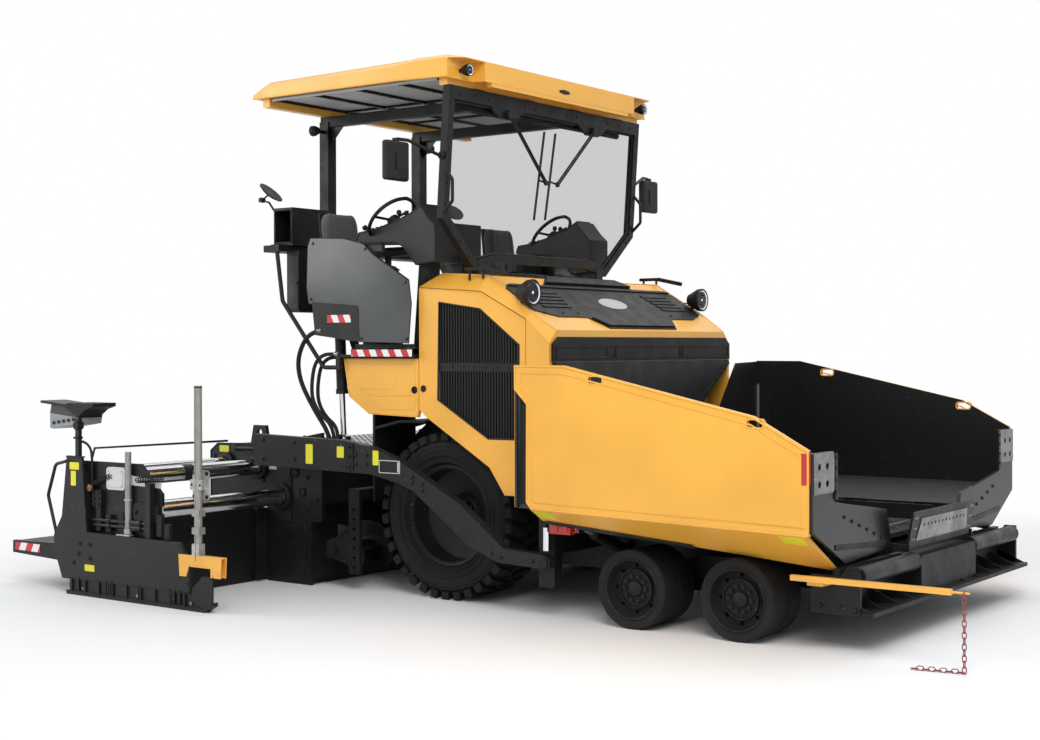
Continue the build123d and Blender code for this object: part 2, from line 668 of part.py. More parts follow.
# Stations: seat stand, console with its steering wheel, side shield and screen arm.
STATION_Y = -980
STATION_FLOOR = RAIL_Z + SEAT_GAP
SHIELD_Y = -1273
SHIELD = [(-1186, 2580), (-850, 2564), (-658, 2516), (-571, 2439), (-231, 2242), (-207, 2083), (-232, 1800),
          (-704, 1811), (-728, 2055), (-1207, 2097), (-1227, 2219), (-1215, 2520)]
SHIELD_SKIRT = [(-1172, 2108), (-715, 2075), (-695, 1818), (-790, 1818), (-900, 1835), (-1141, 1863)]
POD = [(-895, 2560), (-835, 2535), (-512, 2525), (-450, 2500), (-321, 2361), (-134, 2380), (-134, 2640),
       (-200, 2700), (-275, 2792), (-369, 2740), (-480, 2700), (-700, 2640), (-870, 2620)]
WHEEL_CENTRE = (-640, -1000, 2700)


def make_station():
    low, high = STATION_Y - 200, STATION_Y + 200
    pieces = [block(-830, -260, low, high, STATION_FLOOR, STATION_FLOOR + 30)]
    pieces.append(block(-830, -700, STATION_Y - 120, STATION_Y + 120, STATION_FLOOR + 25, 2230))
    pieces.append(block(-1140, -740, STATION_Y - 190, STATION_Y + 190, 2225, 2260))
    # Armrests beside the seat
    for side in (-1, 1):
        y = STATION_Y + side * 262
        pieces.append(block(-960, -500, y - 18, y + 18, 2460, 2505))
        pieces.append(block(-945, -895, y - 10, y + 10, 2230, 2465))
        pieces.append(block(-945, -895, STATION_Y + side * 180, y + side * 10, 2230, 2250))
    # Arm out to the side shield
    pieces.append(block(-840, -790, SHIELD_Y, STATION_Y, 2000, 2050))
    pieces.append(make_shield())
    # Column and console pod with the steering wheel
    pieces.append(prism_y([(-380, STATION_FLOOR + 25), (-260, STATION_FLOOR + 25), (-250, 2375), (-330, 2375)],
                          STATION_Y - 70, STATION_Y + 70))
    pieces.append(prism_y(POD, -1100, -850))
    centre = Vector(*WHEEL_CENTRE)
    tilt = Vector(-0.35, 0, 0.94)
    wheel = Solid.make_torus(175, 14, Plane(origin=centre, z_dir=tilt))
    across = Vector(0.94, 0, 0.35)
    for spoke in (Vector(0, 1, 0), Vector(0, -1, 0), across):
        wheel = wheel + rod(centre, centre + spoke * 175, 9)
    pieces.append(wheel)
    pieces.append(rod(centre - tilt * 90, centre + tilt * 10, 28))
    return joined(pieces)


def make_shield():
    """Side shield with the skirt plate under its rear half."""
    return prism_y(SHIELD, SHIELD_Y - 6, SHIELD_Y) + prism_y(SHIELD_SKIRT, SHIELD_Y - 8, SHIELD_Y + 1)


def make_seat():
    cushion = block(-1180, -720, STATION_Y - 235, STATION_Y + 235, 2260 + SEAT_GAP, 2395)
    back = prism_y([(-1215, 2300), (-1090, 2300), (-1150, 2800), (-1245, 2800)],
                   STATION_Y - 185, STATION_Y + 185)
    return cushion + back


def ring_of_bolts(x, z, radius, count, y0, y1, bolt_r):
    """Round bars along Y on a circle about (x, z)."""
    bolts = []
    for step in range(count):
        turn = radians(360 * step / count)
        px, pz = x + radius * cos(turn), z + radius * sin(turn)
        bolts.append(rod((px, y0, pz), (px, y1, pz), bolt_r))
    return bolts


# Drive wheel: tyre with bar lugs, and a dished rim on the axle stub.
TYRE_SIDE_R = 470
BEAD_R = DRIVE_RIM_R + SEAT_GAP
DRIVE_IN_Y = DRIVE_OUT_Y - DRIVE_W
DRIVE_MID_Y = DRIVE_OUT_Y - DRIVE_W / 2
RIM_BOLT_R = 96
RIM_BOLTS = 10


def make_drive_tyre():
    crown = DRIVE_R - LUG_H
    out_y, in_y = -DRIVE_OUT_Y, -DRIVE_IN_Y
    profile = [
        (BEAD_R, out_y + 55), (BEAD_R + 25, out_y + 22), (TYRE_SIDE_R, out_y + 8), (crown - 40, out_y + 14),
        (crown, out_y + 60), (crown, in_y - 60), (crown - 40, in_y - 14), (TYRE_SIDE_R, in_y - 8),
        (BEAD_R + 25, in_y - 22), (BEAD_R, in_y - 55),
    ]
    body = turned_y(profile, 0, DRIVE_R)
    lugs = []
    low = crown - 25
    for row, (edge, slant) in enumerate(((out_y, 1), (in_y, -1))):
        mid = -DRIVE_MID_Y + slant * -8
        for count in range(LUG_COUNT):
            angle = 360 * (count + 0.5 * row) / LUG_COUNT
            lug = prism_z([(-32, edge + slant * 4), (30, edge + slant * 4), (82, mid), (36, mid)], low, DRIVE_R)
            lugs.append(lug.rotate(Axis.Y, angle).moved(Location((0, 0, DRIVE_R))))
    outer = rod((0, out_y, DRIVE_R), (0, in_y, DRIVE_R), DRIVE_R)
    return common(body.fuse(*lugs), outer)[0]


def make_drive_rim():
    out_y, in_y = -DRIVE_OUT_Y + 50, -DRIVE_IN_Y - 50
    wall = DRIVE_RIM_R - 22
    profile = [
        (AXLE_R + FIT, out_y + 180), (120, out_y + 150), (150, out_y + 190), (wall - 30, out_y + 150),
        (wall - 12, out_y + 10), (DRIVE_RIM_R, out_y), (DRIVE_RIM_R, in_y), (wall, in_y),
        (wall - 10, out_y + 200), (150, out_y + 225), (AXLE_R + FIT, out_y + 225),
    ]
    rim = turned_y(profile, 0, DRIVE_R)
    bolts = ring_of_bolts(0, DRIVE_R, RIM_BOLT_R, RIM_BOLTS, out_y + 148, out_y + 185, 14)
    return rim.fuse(*bolts)


# Bogie wheels: a solid rubber band with a centre groove on a dished disc.
def make_bogie_wheel(x):
    out_y, in_y = -BOGIE_OUT_Y, -BOGIE_OUT_Y + BOGIE_W
    groove = (out_y + in_y) / 2
    inner = BOGIE_R - BOGIE_RUBBER
    profile = [
        (STUB_R + FIT, out_y + 60), (110, out_y + 60), (118, out_y + 75), (inner - 30, out_y + 75),
        (inner - 20, out_y + 8), (BOGIE_R - 8, out_y), (BOGIE_R, out_y + 8),
        (BOGIE_R, groove - 10), (BOGIE_R - 25, groove - 6), (BOGIE_R - 25, groove + 6),
        (BOGIE_R, groove + 10), (BOGIE_R, in_y - 8), (BOGIE_R - 8, in_y), (inner - 20, in_y),
        (inner - 30, out_y + 150), (STUB_R + FIT, out_y + 150),
    ]
    wheel = turned_y(profile, x, BOGIE_R)
    wheel = wheel.fuse(*ring_of_bolts(x, BOGIE_R, 78, 10, out_y + 48, out_y + 70, 10))
    return wheel.cut(*ring_of_bolts(x, BOGIE_R, 147, 8, out_y + 40, out_y + 105, 14))


KNUCKLE_Z = (150, 400)
HOUSING_Z = (182, 368)
HOUSING_R = 52


def make_knuckle(x):
    arm_y, plate_y = -KINGPIN_Y - 60, -KINGPIN_Y - 85
    pieces = [rod((x, -KINGPIN_Y, KNUCKLE_Z[0] + 5), (x, -KINGPIN_Y, KNUCKLE_Z[1] - 5), KINGPIN_R)]
    for z0, z1 in ((KNUCKLE_Z[0], HOUSING_Z[0] - SEAT_GAP), (HOUSING_Z[1] + SEAT_GAP, KNUCKLE_Z[1])):
        # Each arm narrows to a round end about the kingpin
        pieces.append(prism_z([(x - 45, plate_y), (x + 45, plate_y), (x + 45, arm_y + 10), (x + KINGPIN_R, -KINGPIN_Y),
                               (x - KINGPIN_R, -KINGPIN_Y), (x - 45, arm_y + 10)], z0, z1))
        pieces.append(rod((x, -KINGPIN_Y, z0), (x, -KINGPIN_Y, z1), KINGPIN_R))
    pieces.append(block(x - 45, x + 45, plate_y, arm_y, KNUCKLE_Z[0], KNUCKLE_Z[1]))
    pieces.append(rod((x, plate_y + 5, BOGIE_R), (x, -BOGIE_OUT_Y + 70, BOGIE_R), STUB_R))
    return joined(pieces)


def make_bogie_beam():
    low, high = BOGIE_BEAM_Y[0] + SEAT_GAP, BOGIE_BEAM_Y[1]
    first, last = BOGIE_X
    beam = prism_y([(first - 60, 200), (last + 60, 200), (last + 60, 350), (BOGIE_PIVOT_X + 130, 430),
                    (BOGIE_PIVOT_X - 130, 430), (first - 60, 350)], -high, -low)
    pieces = [beam]
    for x in BOGIE_X:
        pieces.append(rod((x, -KINGPIN_Y, HOUSING_Z[0]), (x, -KINGPIN_Y, HOUSING_Z[1]), HOUSING_R))
    result = joined(pieces)
    for x in BOGIE_X:
        result = result - rod((x, -KINGPIN_Y, 100), (x, -KINGPIN_Y, 500), KINGPIN_R + FIT)
    return result


# Hopper: fixed bed with the conveyor floor and the hinge pins; wings; apron.
BED_FLOOR_Z = 570
HINGE_LUGS_X = (1080, 1700, 2300, 2820)
LUG_W = 60


def make_hopper_bed():
    pieces = [block(340, 2930, -BED_Y, BED_Y, BED_FLOOR_Z - 30, BED_FLOOR_Z)]
    for side in (-1, 1):
        pieces.append(block(1000, 2930, side * (BED_Y - 20), side * BED_Y, BED_FLOOR_Z - 30, 690))
        for x in HINGE_LUGS_X:
            pieces.append(block(x, x + LUG_W, side * (BED_Y - 5), side * (WING_HINGE_Y + 25),
                                BED_FLOOR_Z - 20, WING_HINGE_Z + 25))
        pieces.append(rod((HINGE_LUGS_X[0] + 5, side * WING_HINGE_Y, WING_HINGE_Z),
                          (HINGE_LUGS_X[-1] + LUG_W - 5, side * WING_HINGE_Y, WING_HINGE_Z), HINGE_PIN_R))
        pieces.append(block(1000, 2900, side * 400, side * (FRAME_Y - 40), 520 + SEAT_GAP, BED_FLOOR_Z - 25))
        # Ear for the apron's hinge bar
        pieces.append(block(2700, 3180, side * (BED_Y + 18), side * (BED_Y + 30), 500, 545))
        pieces.append(block(2700, 2900, side * (BED_Y - 5), side * (BED_Y + 30), BED_FLOOR_Z - 30, 545))
    # Fixed rear wall with sloping sides, and the conveyor's mouth through it
    wall = [(-1190, 1668), (-732, 1354), (-520, 1200), (-520, 560), (520, 560), (520, 1200),
            (732, 1354), (1190, 1668)]
    mouth = block(930, 975, -430, 430, BED_FLOOR_Z, 900)
    pieces.append(prism_x(wall, BODY_FRONT_X + FRONT_PANEL_T - 18, WING_REAR_X - 8) - mouth)
    bar = rod((APRON_HINGE[0], -BED_Y - 60, APRON_HINGE[1]), (APRON_HINGE[0], BED_Y + 60, APRON_HINGE[1]),
              APRON_BAR_R + FIT)
    return joined(pieces) - bar


APRON_HINGE = (3155, 522)
APRON_BAR_R = 12


def make_conveyor():
    """Two drag conveyors: slats on the bed's floor."""
    pieces = []
    x = 700
    while x < 2850:
        for y in (-420, 20):
            pieces.append(block(x, x + 30, y, y + 400, BED_FLOOR_Z + SEAT_GAP, BED_FLOOR_Z + 22))
        x += 160
    for y in (-430, -14, 14 - 4, 426 - 4):
        pieces.append(block(700, 2870, y, y + 8, BED_FLOOR_Z + SEAT_GAP, BED_FLOOR_Z + 18))
    return joined(pieces)


WING_TOP = [(WING_REAR_X, 1656), (1356, 1655), (2697, 1368), (WING_FRONT_X, 1180)]
CREASE_REAR = (1100, 734)
CREASE_FRONT = (3030, 690)
FLOOR_Z = (700, 765)


def make_wing():
    wall = prism_y([*WING_TOP, (WING_FRONT_X, 700), CREASE_FRONT, CREASE_REAR, (1060, 780), (1065, 1405),
                    (WING_REAR_X, 1500)], -WING_Y, -WING_Y + WING_T)
    inner = -WING_Y + WING_T
    pieces = [wall]
    # Floor from the wall to the hinge side
    floor = prism_x([(inner - 5, FLOOR_Z[1]), (inner - 5, FLOOR_Z[1] - 25), (-WING_HINGE_Y - 32, FLOOR_Z[0] - 25),
                     (-WING_HINGE_Y - 32, FLOOR_Z[0])], WING_REAR_X + 10, WING_FRONT_X)
    pieces.append(floor)
    # Under-skin that tucks in below the crease
    tuck = [(-WING_Y, 734), (-WING_Y + 20, 745), (-1500, 672), (-1510, 655)]
    front = [(-WING_Y, 690), (-WING_Y + 20, 705), (-1240, 478), (-1250, 458)]
    rear_wire = polygon([(1100, y, z) for y, z in tuck]).outer_wire()
    front_wire = polygon([(3030, y, z) for y, z in front]).outer_wire()
    pieces.append(Solid.make_loft([rear_wire, front_wire], ruled=True))
    # Ribs under the floor, down to the tuck and the hinge tube
    for x in (1145, 1520, 1960, 2400, 2720):
        reach = (x - 1100) / 1930
        tip_y, tip_z = -1505 + 260 * reach, 668 - 195 * reach
        pieces.append(prism_x([(inner - 5, 745), (-WING_Y + 10, 732 - 40 * reach), (tip_y, tip_z),
                               (-WING_HINGE_Y - 20, WING_HINGE_Z - 20), (-WING_HINGE_Y - 20, WING_HINGE_Z + 20),
                               (-WING_HINGE_Y - 40, 690)], x, x + 20))
    # Lug and pin for the cylinder's eye
    y, z = WING_CYL_EYE
    pieces.append(prism_x([(y - 60, 690), (y + 60, 690), (y + 30, z - 25), (y - 30, z - 25)], 1145, 1165))
    pieces.append(rod((1150, y, z), (WING_CYL_X + 30, y, z), WING_EYE_PIN_R))
    # Rear wall
    pieces.append(prism_x([(-WING_Y + 5, 1650), (-1260, 1640), (-WING_HINGE_Y - 35, 760),
                           (-WING_HINGE_Y - 35, 690), (-WING_Y + 5, 745)], WING_REAR_X, WING_REAR_X + 20))
    # Front lip: corner plate and the side flap of the apron
    pieces.append(prism_x([(-WING_Y + 10, 1165), (-1360, 1165), (-1357, 875), (-1210, 850), (-620, 770),
                           (-540, 530), (-1210, 500), (-WING_Y + 10, 720)], WING_FRONT_X - 5, WING_FRONT_X + 20))
    # Hinge tube segments between the bed's lugs
    for x0, x1 in zip(HINGE_LUGS_X, HINGE_LUGS_X[1:]):
        pieces.append(rod((x0 + LUG_W + 60, -WING_HINGE_Y, WING_HINGE_Z), (x1 - 60, -WING_HINGE_Y, WING_HINGE_Z), 26))
        pieces.append(block(x0 + LUG_W + 60, x1 - 60, -WING_HINGE_Y - 60, -WING_HINGE_Y - 10, 665, 700))
    result = joined(pieces)
    result = result - rod((900, -WING_HINGE_Y, WING_HINGE_Z), (3100, -WING_HINGE_Y, WING_HINGE_Z), HINGE_PIN_R + FIT)
    # Holes in the front corner plate
    for y in (-1560, -1460):
        for z in (985, 1085):
            result = result - rod((WING_FRONT_X - 20, y, z), (WING_FRONT_X + 40, y, z), 20)
    # Lifting slots in the wall's top
    for x, z in ((1540, 1540), (2650, 1300)):
        result = result - block(x, x + 110, -WING_Y - 5, -WING_Y + WING_T + 5, z, z + 50)
    return result


def along(foot, eye, distance):
    length = hypot(eye[0] - foot[0], eye[1] - foot[1])
    return (foot[0] + (eye[0] - foot[0]) * distance / length, foot[1] + (eye[1] - foot[1]) * distance / length)


def make_wing_barrel():
    foot, eye = WING_CYL_FOOT, WING_CYL_EYE
    x = WING_CYL_X
    end = along(foot, eye, 400)
    start = along(foot, eye, 45)
    barrel = rod((x, *start), (x, *end), 38) - rod((x, *along(foot, eye, 90)), (x, *along(foot, eye, 420)), 20 + FIT)
    eye_ring = rod((x - 25, *foot), (x + 25, *foot), 40) + rod((x, *along(foot, eye, 10)), (x, *along(foot, eye, 60)), 25)
    return (barrel + eye_ring) - rod((x - 40, *foot), (x + 40, *foot), WING_CYL_PIN_R + FIT)


def make_wing_rod():
    foot, eye = WING_CYL_FOOT, WING_CYL_EYE
    x = WING_CYL_X
    length = hypot(eye[0] - foot[0], eye[1] - foot[1])
    shaft = rod((x, *along(foot, eye, 120)), (x, *along(foot, eye, length - WING_EYE_R - 5)), 20)
    ring = tube((x - 20, *eye), (x + 20, *eye), WING_EYE_R + 12, WING_EYE_R)
    return shaft + ring


def make_apron():
    """Front flap between the two wings, hinged low down."""
    x, z = APRON_HINGE
    plate = prism_y([(x - 8, z - 8), (x + 10, z - 8), (x + 50, 738), (x + 35, 738)], -BED_Y - 15, BED_Y + 15)
    return plate + rod((x, -BED_Y - 34, z), (x, BED_Y + 34, z), APRON_BAR_R)


# Push beam with its two rollers, pivoted on the frame's nose.
def make_push_beam():
    pieces = [block(FRAME_FRONT_X + SEAT_GAP, 3080, -1310, 1310, 215, 330)]
    pieces.append(block(3070, 3290, -1310, 1310, 215, 240))
    pieces.append(block(3040, 3080, -1310, 1310, 320, 480))
    pieces.append(block(3070, 3230, -ROLLER_IN_Y + 10, ROLLER_IN_Y - 10, 235, 475))
    for side in (-1, 1):
        pieces.append(prism_y([(FRAME_FRONT_X + SEAT_GAP, 215), (3210, 215), (3210, 495), (3130, 495), (3090, 440),
                               (FRAME_FRONT_X + SEAT_GAP, 440)],
                              side * (ROLLER_OUT_Y + 3), side * (ROLLER_OUT_Y + 28)))
        pieces.append(rod((ROLLER_X, side * (ROLLER_IN_Y - 20), ROLLER_Z),
                          (ROLLER_X, side * (ROLLER_OUT_Y + 20), ROLLER_Z), ROLLER_PIN_R))
    return joined(pieces)


def make_roller():
    return tube((ROLLER_X, -ROLLER_OUT_Y, ROLLER_Z), (ROLLER_X, -ROLLER_IN_Y, ROLLER_Z), ROLLER_R, ROLLER_PIN_R + FIT)


GUIDE_Y = -1500
GUIDE_Z = 438
GUIDE_ROD_R = 6


def make_guide_bar():
    bar_end = GUIDE_TIP_X - 100
    bar = block(2865, bar_end, GUIDE_Y - 16, GUIDE_Y + 16, GUIDE_Z - 16, GUIDE_Z + 16)
    tip = rod((bar_end - 5, GUIDE_Y, GUIDE_Z), (GUIDE_TIP_X, GUIDE_Y, GUIDE_Z), GUIDE_ROD_R)
    holder = block(2960, 3060, GUIDE_Y + 10, -ROLLER_OUT_Y - 28 - SEAT_GAP, GUIDE_Z - 40, GUIDE_Z - 10)
    return joined([bar, tip, holder])


# Guide chain: links hanging from the bar's tip and lying on the ground.
LINK_L = 41.9
LINK_W = 27
FLOOR_LINKS = 9
FLOOR_TURN = 9.5
LINK_T = 5


def make_link(across):
    outline = [(-LINK_L / 2, -LINK_W / 4), (-LINK_L / 4, -LINK_W / 2), (LINK_L / 4, -LINK_W / 2),
               (LINK_L / 2, -LINK_W / 4), (LINK_L / 2, LINK_W / 4), (LINK_L / 4, LINK_W / 2),
               (-LINK_L / 4, LINK_W / 2), (-LINK_L / 2, LINK_W / 4)]
    inner_l, inner_w = LINK_L - 2 * LINK_T, LINK_W - 2 * LINK_T
    inside = [(x * inner_l / LINK_L, y * inner_w / LINK_W) for x, y in outline]
    link = prism_z(outline, -LINK_T / 2, LINK_T / 2) - prism_z(inside, -LINK_T, LINK_T)
    return link.rotate(Axis.X, 90) if across else link


def make_chain():
    pitch = LINK_L - 2 * LINK_T - 2 * SEAT_GAP
    x, z = GUIDE_TIP_X - 30, GUIDE_Z + GUIDE_ROD_R + 2 * SEAT_GAP + LINK_T - LINK_L / 2
    links = []
    count = 0
    while z > LINK_L / 2:
        links.append(make_link(count % 2).rotate(Axis.Y, 90).moved(Location((x, GUIDE_Y, z))))
        z -= pitch
        count += 1
    # On the floor the links lie flat and on edge by turns, from the last hanging one backwards
    flat_z = z + pitch - LINK_L / 2 + 1.5 * LINK_T + SEAT_GAP
    first = (LINK_T - LINK_L) / 2
    for step in range(FLOOR_LINKS):
        height = LINK_W / 2 + SEAT_GAP if step % 2 else flat_z
        link = make_link(step % 2).moved(Location((first - pitch * step, 0, height)))
        links.append(link.rotate(Axis.Z, FLOOR_TURN).moved(Location((x, GUIDE_Y, 0))))
    return links


# Tow arms: bent plates from the tow pin back to the screed's end plates.
ARM_OUTLINE = [
    (-1600, 900), (-439, 881), (-178, 832), (-41, 784), (402, 472), (445, 441), (699, 348), (1027, 336),
    (1110, 345), (1118, 400), (1067, 424), (741, 444), (358, 725), (-178, 991), (-440, 1075), (-700, 1110),
    (-1600, 1130),
]


def make_tow_arm():
    low, high = ARM_Y - ARM_T / 2, ARM_Y + ARM_T / 2
    arm = prism_y(ARM_OUTLINE, -high, -low)
    arm = arm + rod((LIFT_EYE[0], -low - 5, LIFT_EYE[1]), (LIFT_EYE[0], -LIFT_Y + 40, LIFT_EYE[1]), LIFT_PIN_R)
    arm = arm - rod((TOW_X, -high - 5, TOW_Z), (TOW_X, -low + 5, TOW_Z), TOW_PIN_R + FIT)
    return arm + block(-1600, -1320, -low - 5, -SCREED_Y - SEAT_GAP, 930, 1100)


# Main screed: sole box with a moldboard, end plates with lifting eyes and the extension guides.
TUBES = (("low", -1540, 650, 65), ("high", -1790, 865, 60), ("rear", -2140, 880, 45))
END_PLATE = [(SCREED_FRONT_X, GROUND), (-1700, GROUND), (-1700, 560), (-2330, 560), (-2330, 970), (-2250, 1030),
             (-1880, 1040), (-1850, 1180), (-1720, 1180), (-1690, 1040), (-1130, 1140), (-1130, 480),
             (SCREED_FRONT_X, 470)]
GUIDE_WALL = 22


def make_screed():
    pieces = [block(SCREED_FRONT_X - 40, -1690, -SCREED_Y, SCREED_Y, GROUND, 330)]
    pieces.append(block(SCREED_FRONT_X - 30, SCREED_FRONT_X, -SCREED_Y, SCREED_Y, GROUND + 40, 620))
    for side in (-1, 1):
        plate = prism_y(END_PLATE, side * SCREED_Y, side * (SCREED_Y - 30))
        pieces.append(plate - rod((-1785, side * 1100, 1125), (-1785, side * 1300, 1125), 28))
        for name, x, z, r in TUBES:
            pieces.append(rod((x, side * 15, z), (x, side * (SCREED_Y + 20), z), r + GUIDE_WALL))
    # Walkway deck above the guides and the cross member that joins the end plates
    pieces.append(block(-2280, -1180, -SCREED_Y + 25, SCREED_Y - 25, 985, 1015))
    pieces.append(block(SCREED_FRONT_X - 30, -1150, -SCREED_Y + 25, SCREED_Y - 25, 600, 1000))
    for side in (-1, 1):
        pieces.append(block(-1700, -1600, side * 300, side * 380, 320, 1000))
        pieces.append(block(-2160, -1560, side * 20, side * 60, 640, 1000))
    result = joined(pieces)
    for name, x, z, r in TUBES:
        result = result - rod((x, -SCREED_Y - 50, z), (x, SCREED_Y + 50, z), r + 0.5)
    return result


# Guide posts of the end gate: x, top z
GATE_POSTS = [(-2250, 885), (-1567, 833)]


def make_extension():
    inner, outer = -SCREED_Y - 85, -GATE_Y + GATE_BAND
    pieces = [block(-2360, EXT_FRONT_X, inner, outer, GROUND, 300)]
    pieces.append(block(EXT_FRONT_X - 30, EXT_FRONT_X, inner, outer, GROUND + 30, 540))
    pieces.append(prism_y([(-2400, 20), (-1480, 20), (-1480, 300), (-1480, 760), (-1700, 960), (-2400, 960)],
                          outer, outer + 25))
    for name, x, z, r in TUBES:
        pieces.append(rod((x, outer + 10, z), (x, -SCREED_Y + 20, z), r))
    # Posts that guide the end gate
    for x, z in GATE_POSTS:
        pieces.append(block(x - 25, x + 25, -GATE_Y + SEAT_GAP, outer, 140, z))
    # Walkway with its step out to the rear
    pieces.append(block(-2620, -2350, inner, outer, 300, 330))
    pieces.append(block(-2380, -2350, inner, outer, 290, 330))
    pieces.append(prism_y([(-2360, 210), (REAR_X, 240), (REAR_X, 330), (-2360, 350)], outer, outer + 40))
    pieces.append(block(REAR_X, -2400, -1340, outer + 5, 300, 325))
    return joined(pieces)


GATE_OUTLINE = [(-2423, 990), (-2253, 990), (-2200, 459), (-1210, 452), (GATE_FRONT_X, 318), (GATE_FRONT_X, 110),
                (-2478, 110), (-2571, 322), (-2571, 420), (-2480, 560)]
POLE_R = 27
SKID_RIBS_X = range(-2370, -1150, 150)


def make_end_gate():
    out_y = -GATE_Y - GATE_T
    pole_y = -GATE_Y
    pieces = [prism_y(GATE_OUTLINE, out_y, -GATE_Y)]
    # Sole with its nose turned up, the skid plate above it and the skid's ribs
    pieces.append(prism_y([(-2431, 0), (-980, 0), (-905, 45), (-905, 70), (-990, 25), (-2431, 25)], out_y, -GATE_Y + 40))
    pieces.append(prism_y([(-2400, 20), (-940, 20), (-900, 70), (-900, 240), (-1000, 240), (-1120, 130), (-2400, 130)],
                          out_y + 6, -GATE_Y - 2))
    for x in SKID_RIBS_X:
        pieces.append(block(x, x + 12, pole_y - POLE_R, out_y + 8, 20, 122))
    # Sensor pole on its bracket, and the second pole
    pieces.append(block(-1120, -890, pole_y - 25, pole_y + 25, 300, 335))
    pieces.append(block(-905, -890, pole_y - 25, pole_y + 25, 240, 335))
    pieces.append(rod((-1050, pole_y, 320), (-1050, pole_y, 1516), POLE_R))
    for z in (520, 640):
        pieces.append(block(-1085, -1015, pole_y - POLE_R, pole_y + 30, z, z + 45))
    pieces.append(rod((-1800, pole_y + 25, 420), (-1800, pole_y + 25, 1036), 22))
    pieces.append(block(-1830, -1770, pole_y - 5, pole_y + 25, 400, 450))
    # Control box with its visor, on a post
    pieces.append(block(-2340, -2300, pole_y - 8, pole_y + 20, 960, 1300))
    pieces.append(prism_y([(-2640, 1300), (-2301, 1270), (-2301, 1350), (-2620, 1372)], pole_y, pole_y + 200))
    pieces.append(prism_y([(-2740, 1372), (-2400, 1345), (-2395, 1362), (-2735, 1390)], pole_y - 10, pole_y + 210))
    # Handrail loop behind the tower
    rail_y = (out_y - GATE_Y) / 2
    pieces.append(bent_bar([(-2440, rail_y, 955), (-2560, rail_y, 930), (-2650, rail_y, 700), (-2545, rail_y, 400)], 12, 45))
    return joined(pieces)


# Augers: a shaft with a helical flight, right-handed on one side and left-handed on the other.
FLIGHT_PITCH = 320
FLIGHT_T = 14
# Each flight's outer end and length along the shaft
FLIGHTS = ((-1190, 540), (-530, 480))


def make_auger():
    shaft = rod((AUGER_X, -AUGER_END_Y[1] - 20, AUGER_Z), (AUGER_X, -20, AUGER_Z), AUGER_SHAFT_R)
    pieces = [shaft]
    for first, length in FLIGHTS:
        helix = Helix(pitch=FLIGHT_PITCH, height=length, radius=AUGER_R / 2 + 10,
                      center=(AUGER_X, first, AUGER_Z), direction=(0, 1, 0))
        profile_plane = Plane(origin=helix @ 0, x_dir=(helix @ 0) - Vector(AUGER_X, first, AUGER_Z),
                              z_dir=helix % 0)
        section = profile_plane * Rectangle(AUGER_R - 20, FLIGHT_T)
        pieces.append(sweep(section, path=helix, is_frenet=True))
    return joined(pieces)


def make_lift_barrel():
    foot, eye, y = LIFT_TOP, LIFT_EYE, -LIFT_Y

    def at(distance):
        x, z = along(foot, eye, distance)
        return (x, y, z)

    ring = rod((foot[0], y - 25, foot[1]), (foot[0], y + 25, foot[1]), 42) + rod(at(5), at(70), 30)
    barrel = rod(at(60), at(640), 40) - rod(at(330), at(700), LIFT_ROD_R + FIT)
    return ring + barrel - rod((foot[0], y - 30, foot[1]), (foot[0], y + 30, foot[1]), LIFT_PIN_R + FIT)


def make_lift_rod():
    foot, eye, y = LIFT_TOP, LIFT_EYE, -LIFT_Y

    def at(distance):
        x, z = along(foot, eye, distance)
        return (x, y, z)

    length = hypot(eye[0] - foot[0], eye[1] - foot[1])
    shaft = rod(at(620), at(length - LIFT_EYE_R - 5), LIFT_ROD_R)
    ring = tube((eye[0], y - 20, eye[1]), (eye[0], y + 20, eye[1]), LIFT_EYE_R + 16, LIFT_EYE_R)
    return shaft + ring


def main():
    write("chassis", make_chassis())
    write("engine", ENGINE)
    write("bodywork", make_bodywork())
    write("hood_trim", make_hood_trim())
    write_pair("side_door", make_door())
    write_pair("door_grille", make_grille())
    write("platform", make_platform())
    write("canopy_frame", make_canopy_frame())
    write("windscreen", make_windscreen())
    write("canopy_roof", make_roof())
    write("roof_liner", make_roof_liner())
    write("work_lamps", make_work_lamps())
    write("wipers", make_wipers())
    mirror = make_mirror()
    write("mirrors", [mirror, other_side(mirror)])
    write_pair("station", make_station())
    write_pair("seat", make_seat())
    write_pair("drive_tyre", make_drive_tyre())
    write_pair("drive_rim", make_drive_rim())
    for number, x in enumerate(BOGIE_X, 1):
        write_pair("bogie_wheel_%d" % number, make_bogie_wheel(x))
        write_pair("knuckle_%d" % number, make_knuckle(x))
    beam = make_bogie_beam()
    write("bogie_beams", [beam, other_side(beam)])
    write("hopper_bed", make_hopper_bed())
    write("conveyor", make_conveyor())
    write_pair("hopper_wing", make_wing())
    write_pair("wing_barrel", make_wing_barrel())
    write_pair("wing_rod", make_wing_rod())
    write("apron", make_apron())
    write("push_beam", make_push_beam())
    write_pair("push_roller", make_roller())
    write("guide_bar", make_guide_bar())
    write("guide_chain", make_chain())
    arm = make_tow_arm()
    write("tow_arms", [arm, other_side(arm)])
    write("screed", make_screed())
    write_pair("extension", make_extension())
    write_pair("end_gate", make_end_gate())
    write_pair("auger", make_auger())
    write_pair("lift_barrel", make_lift_barrel())
    write_pair("lift_rod", make_lift_rod())


main()
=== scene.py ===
import bpy
import bmesh
from math import cos, hypot, pi, radians, sin
from mathutils import Matrix, Vector


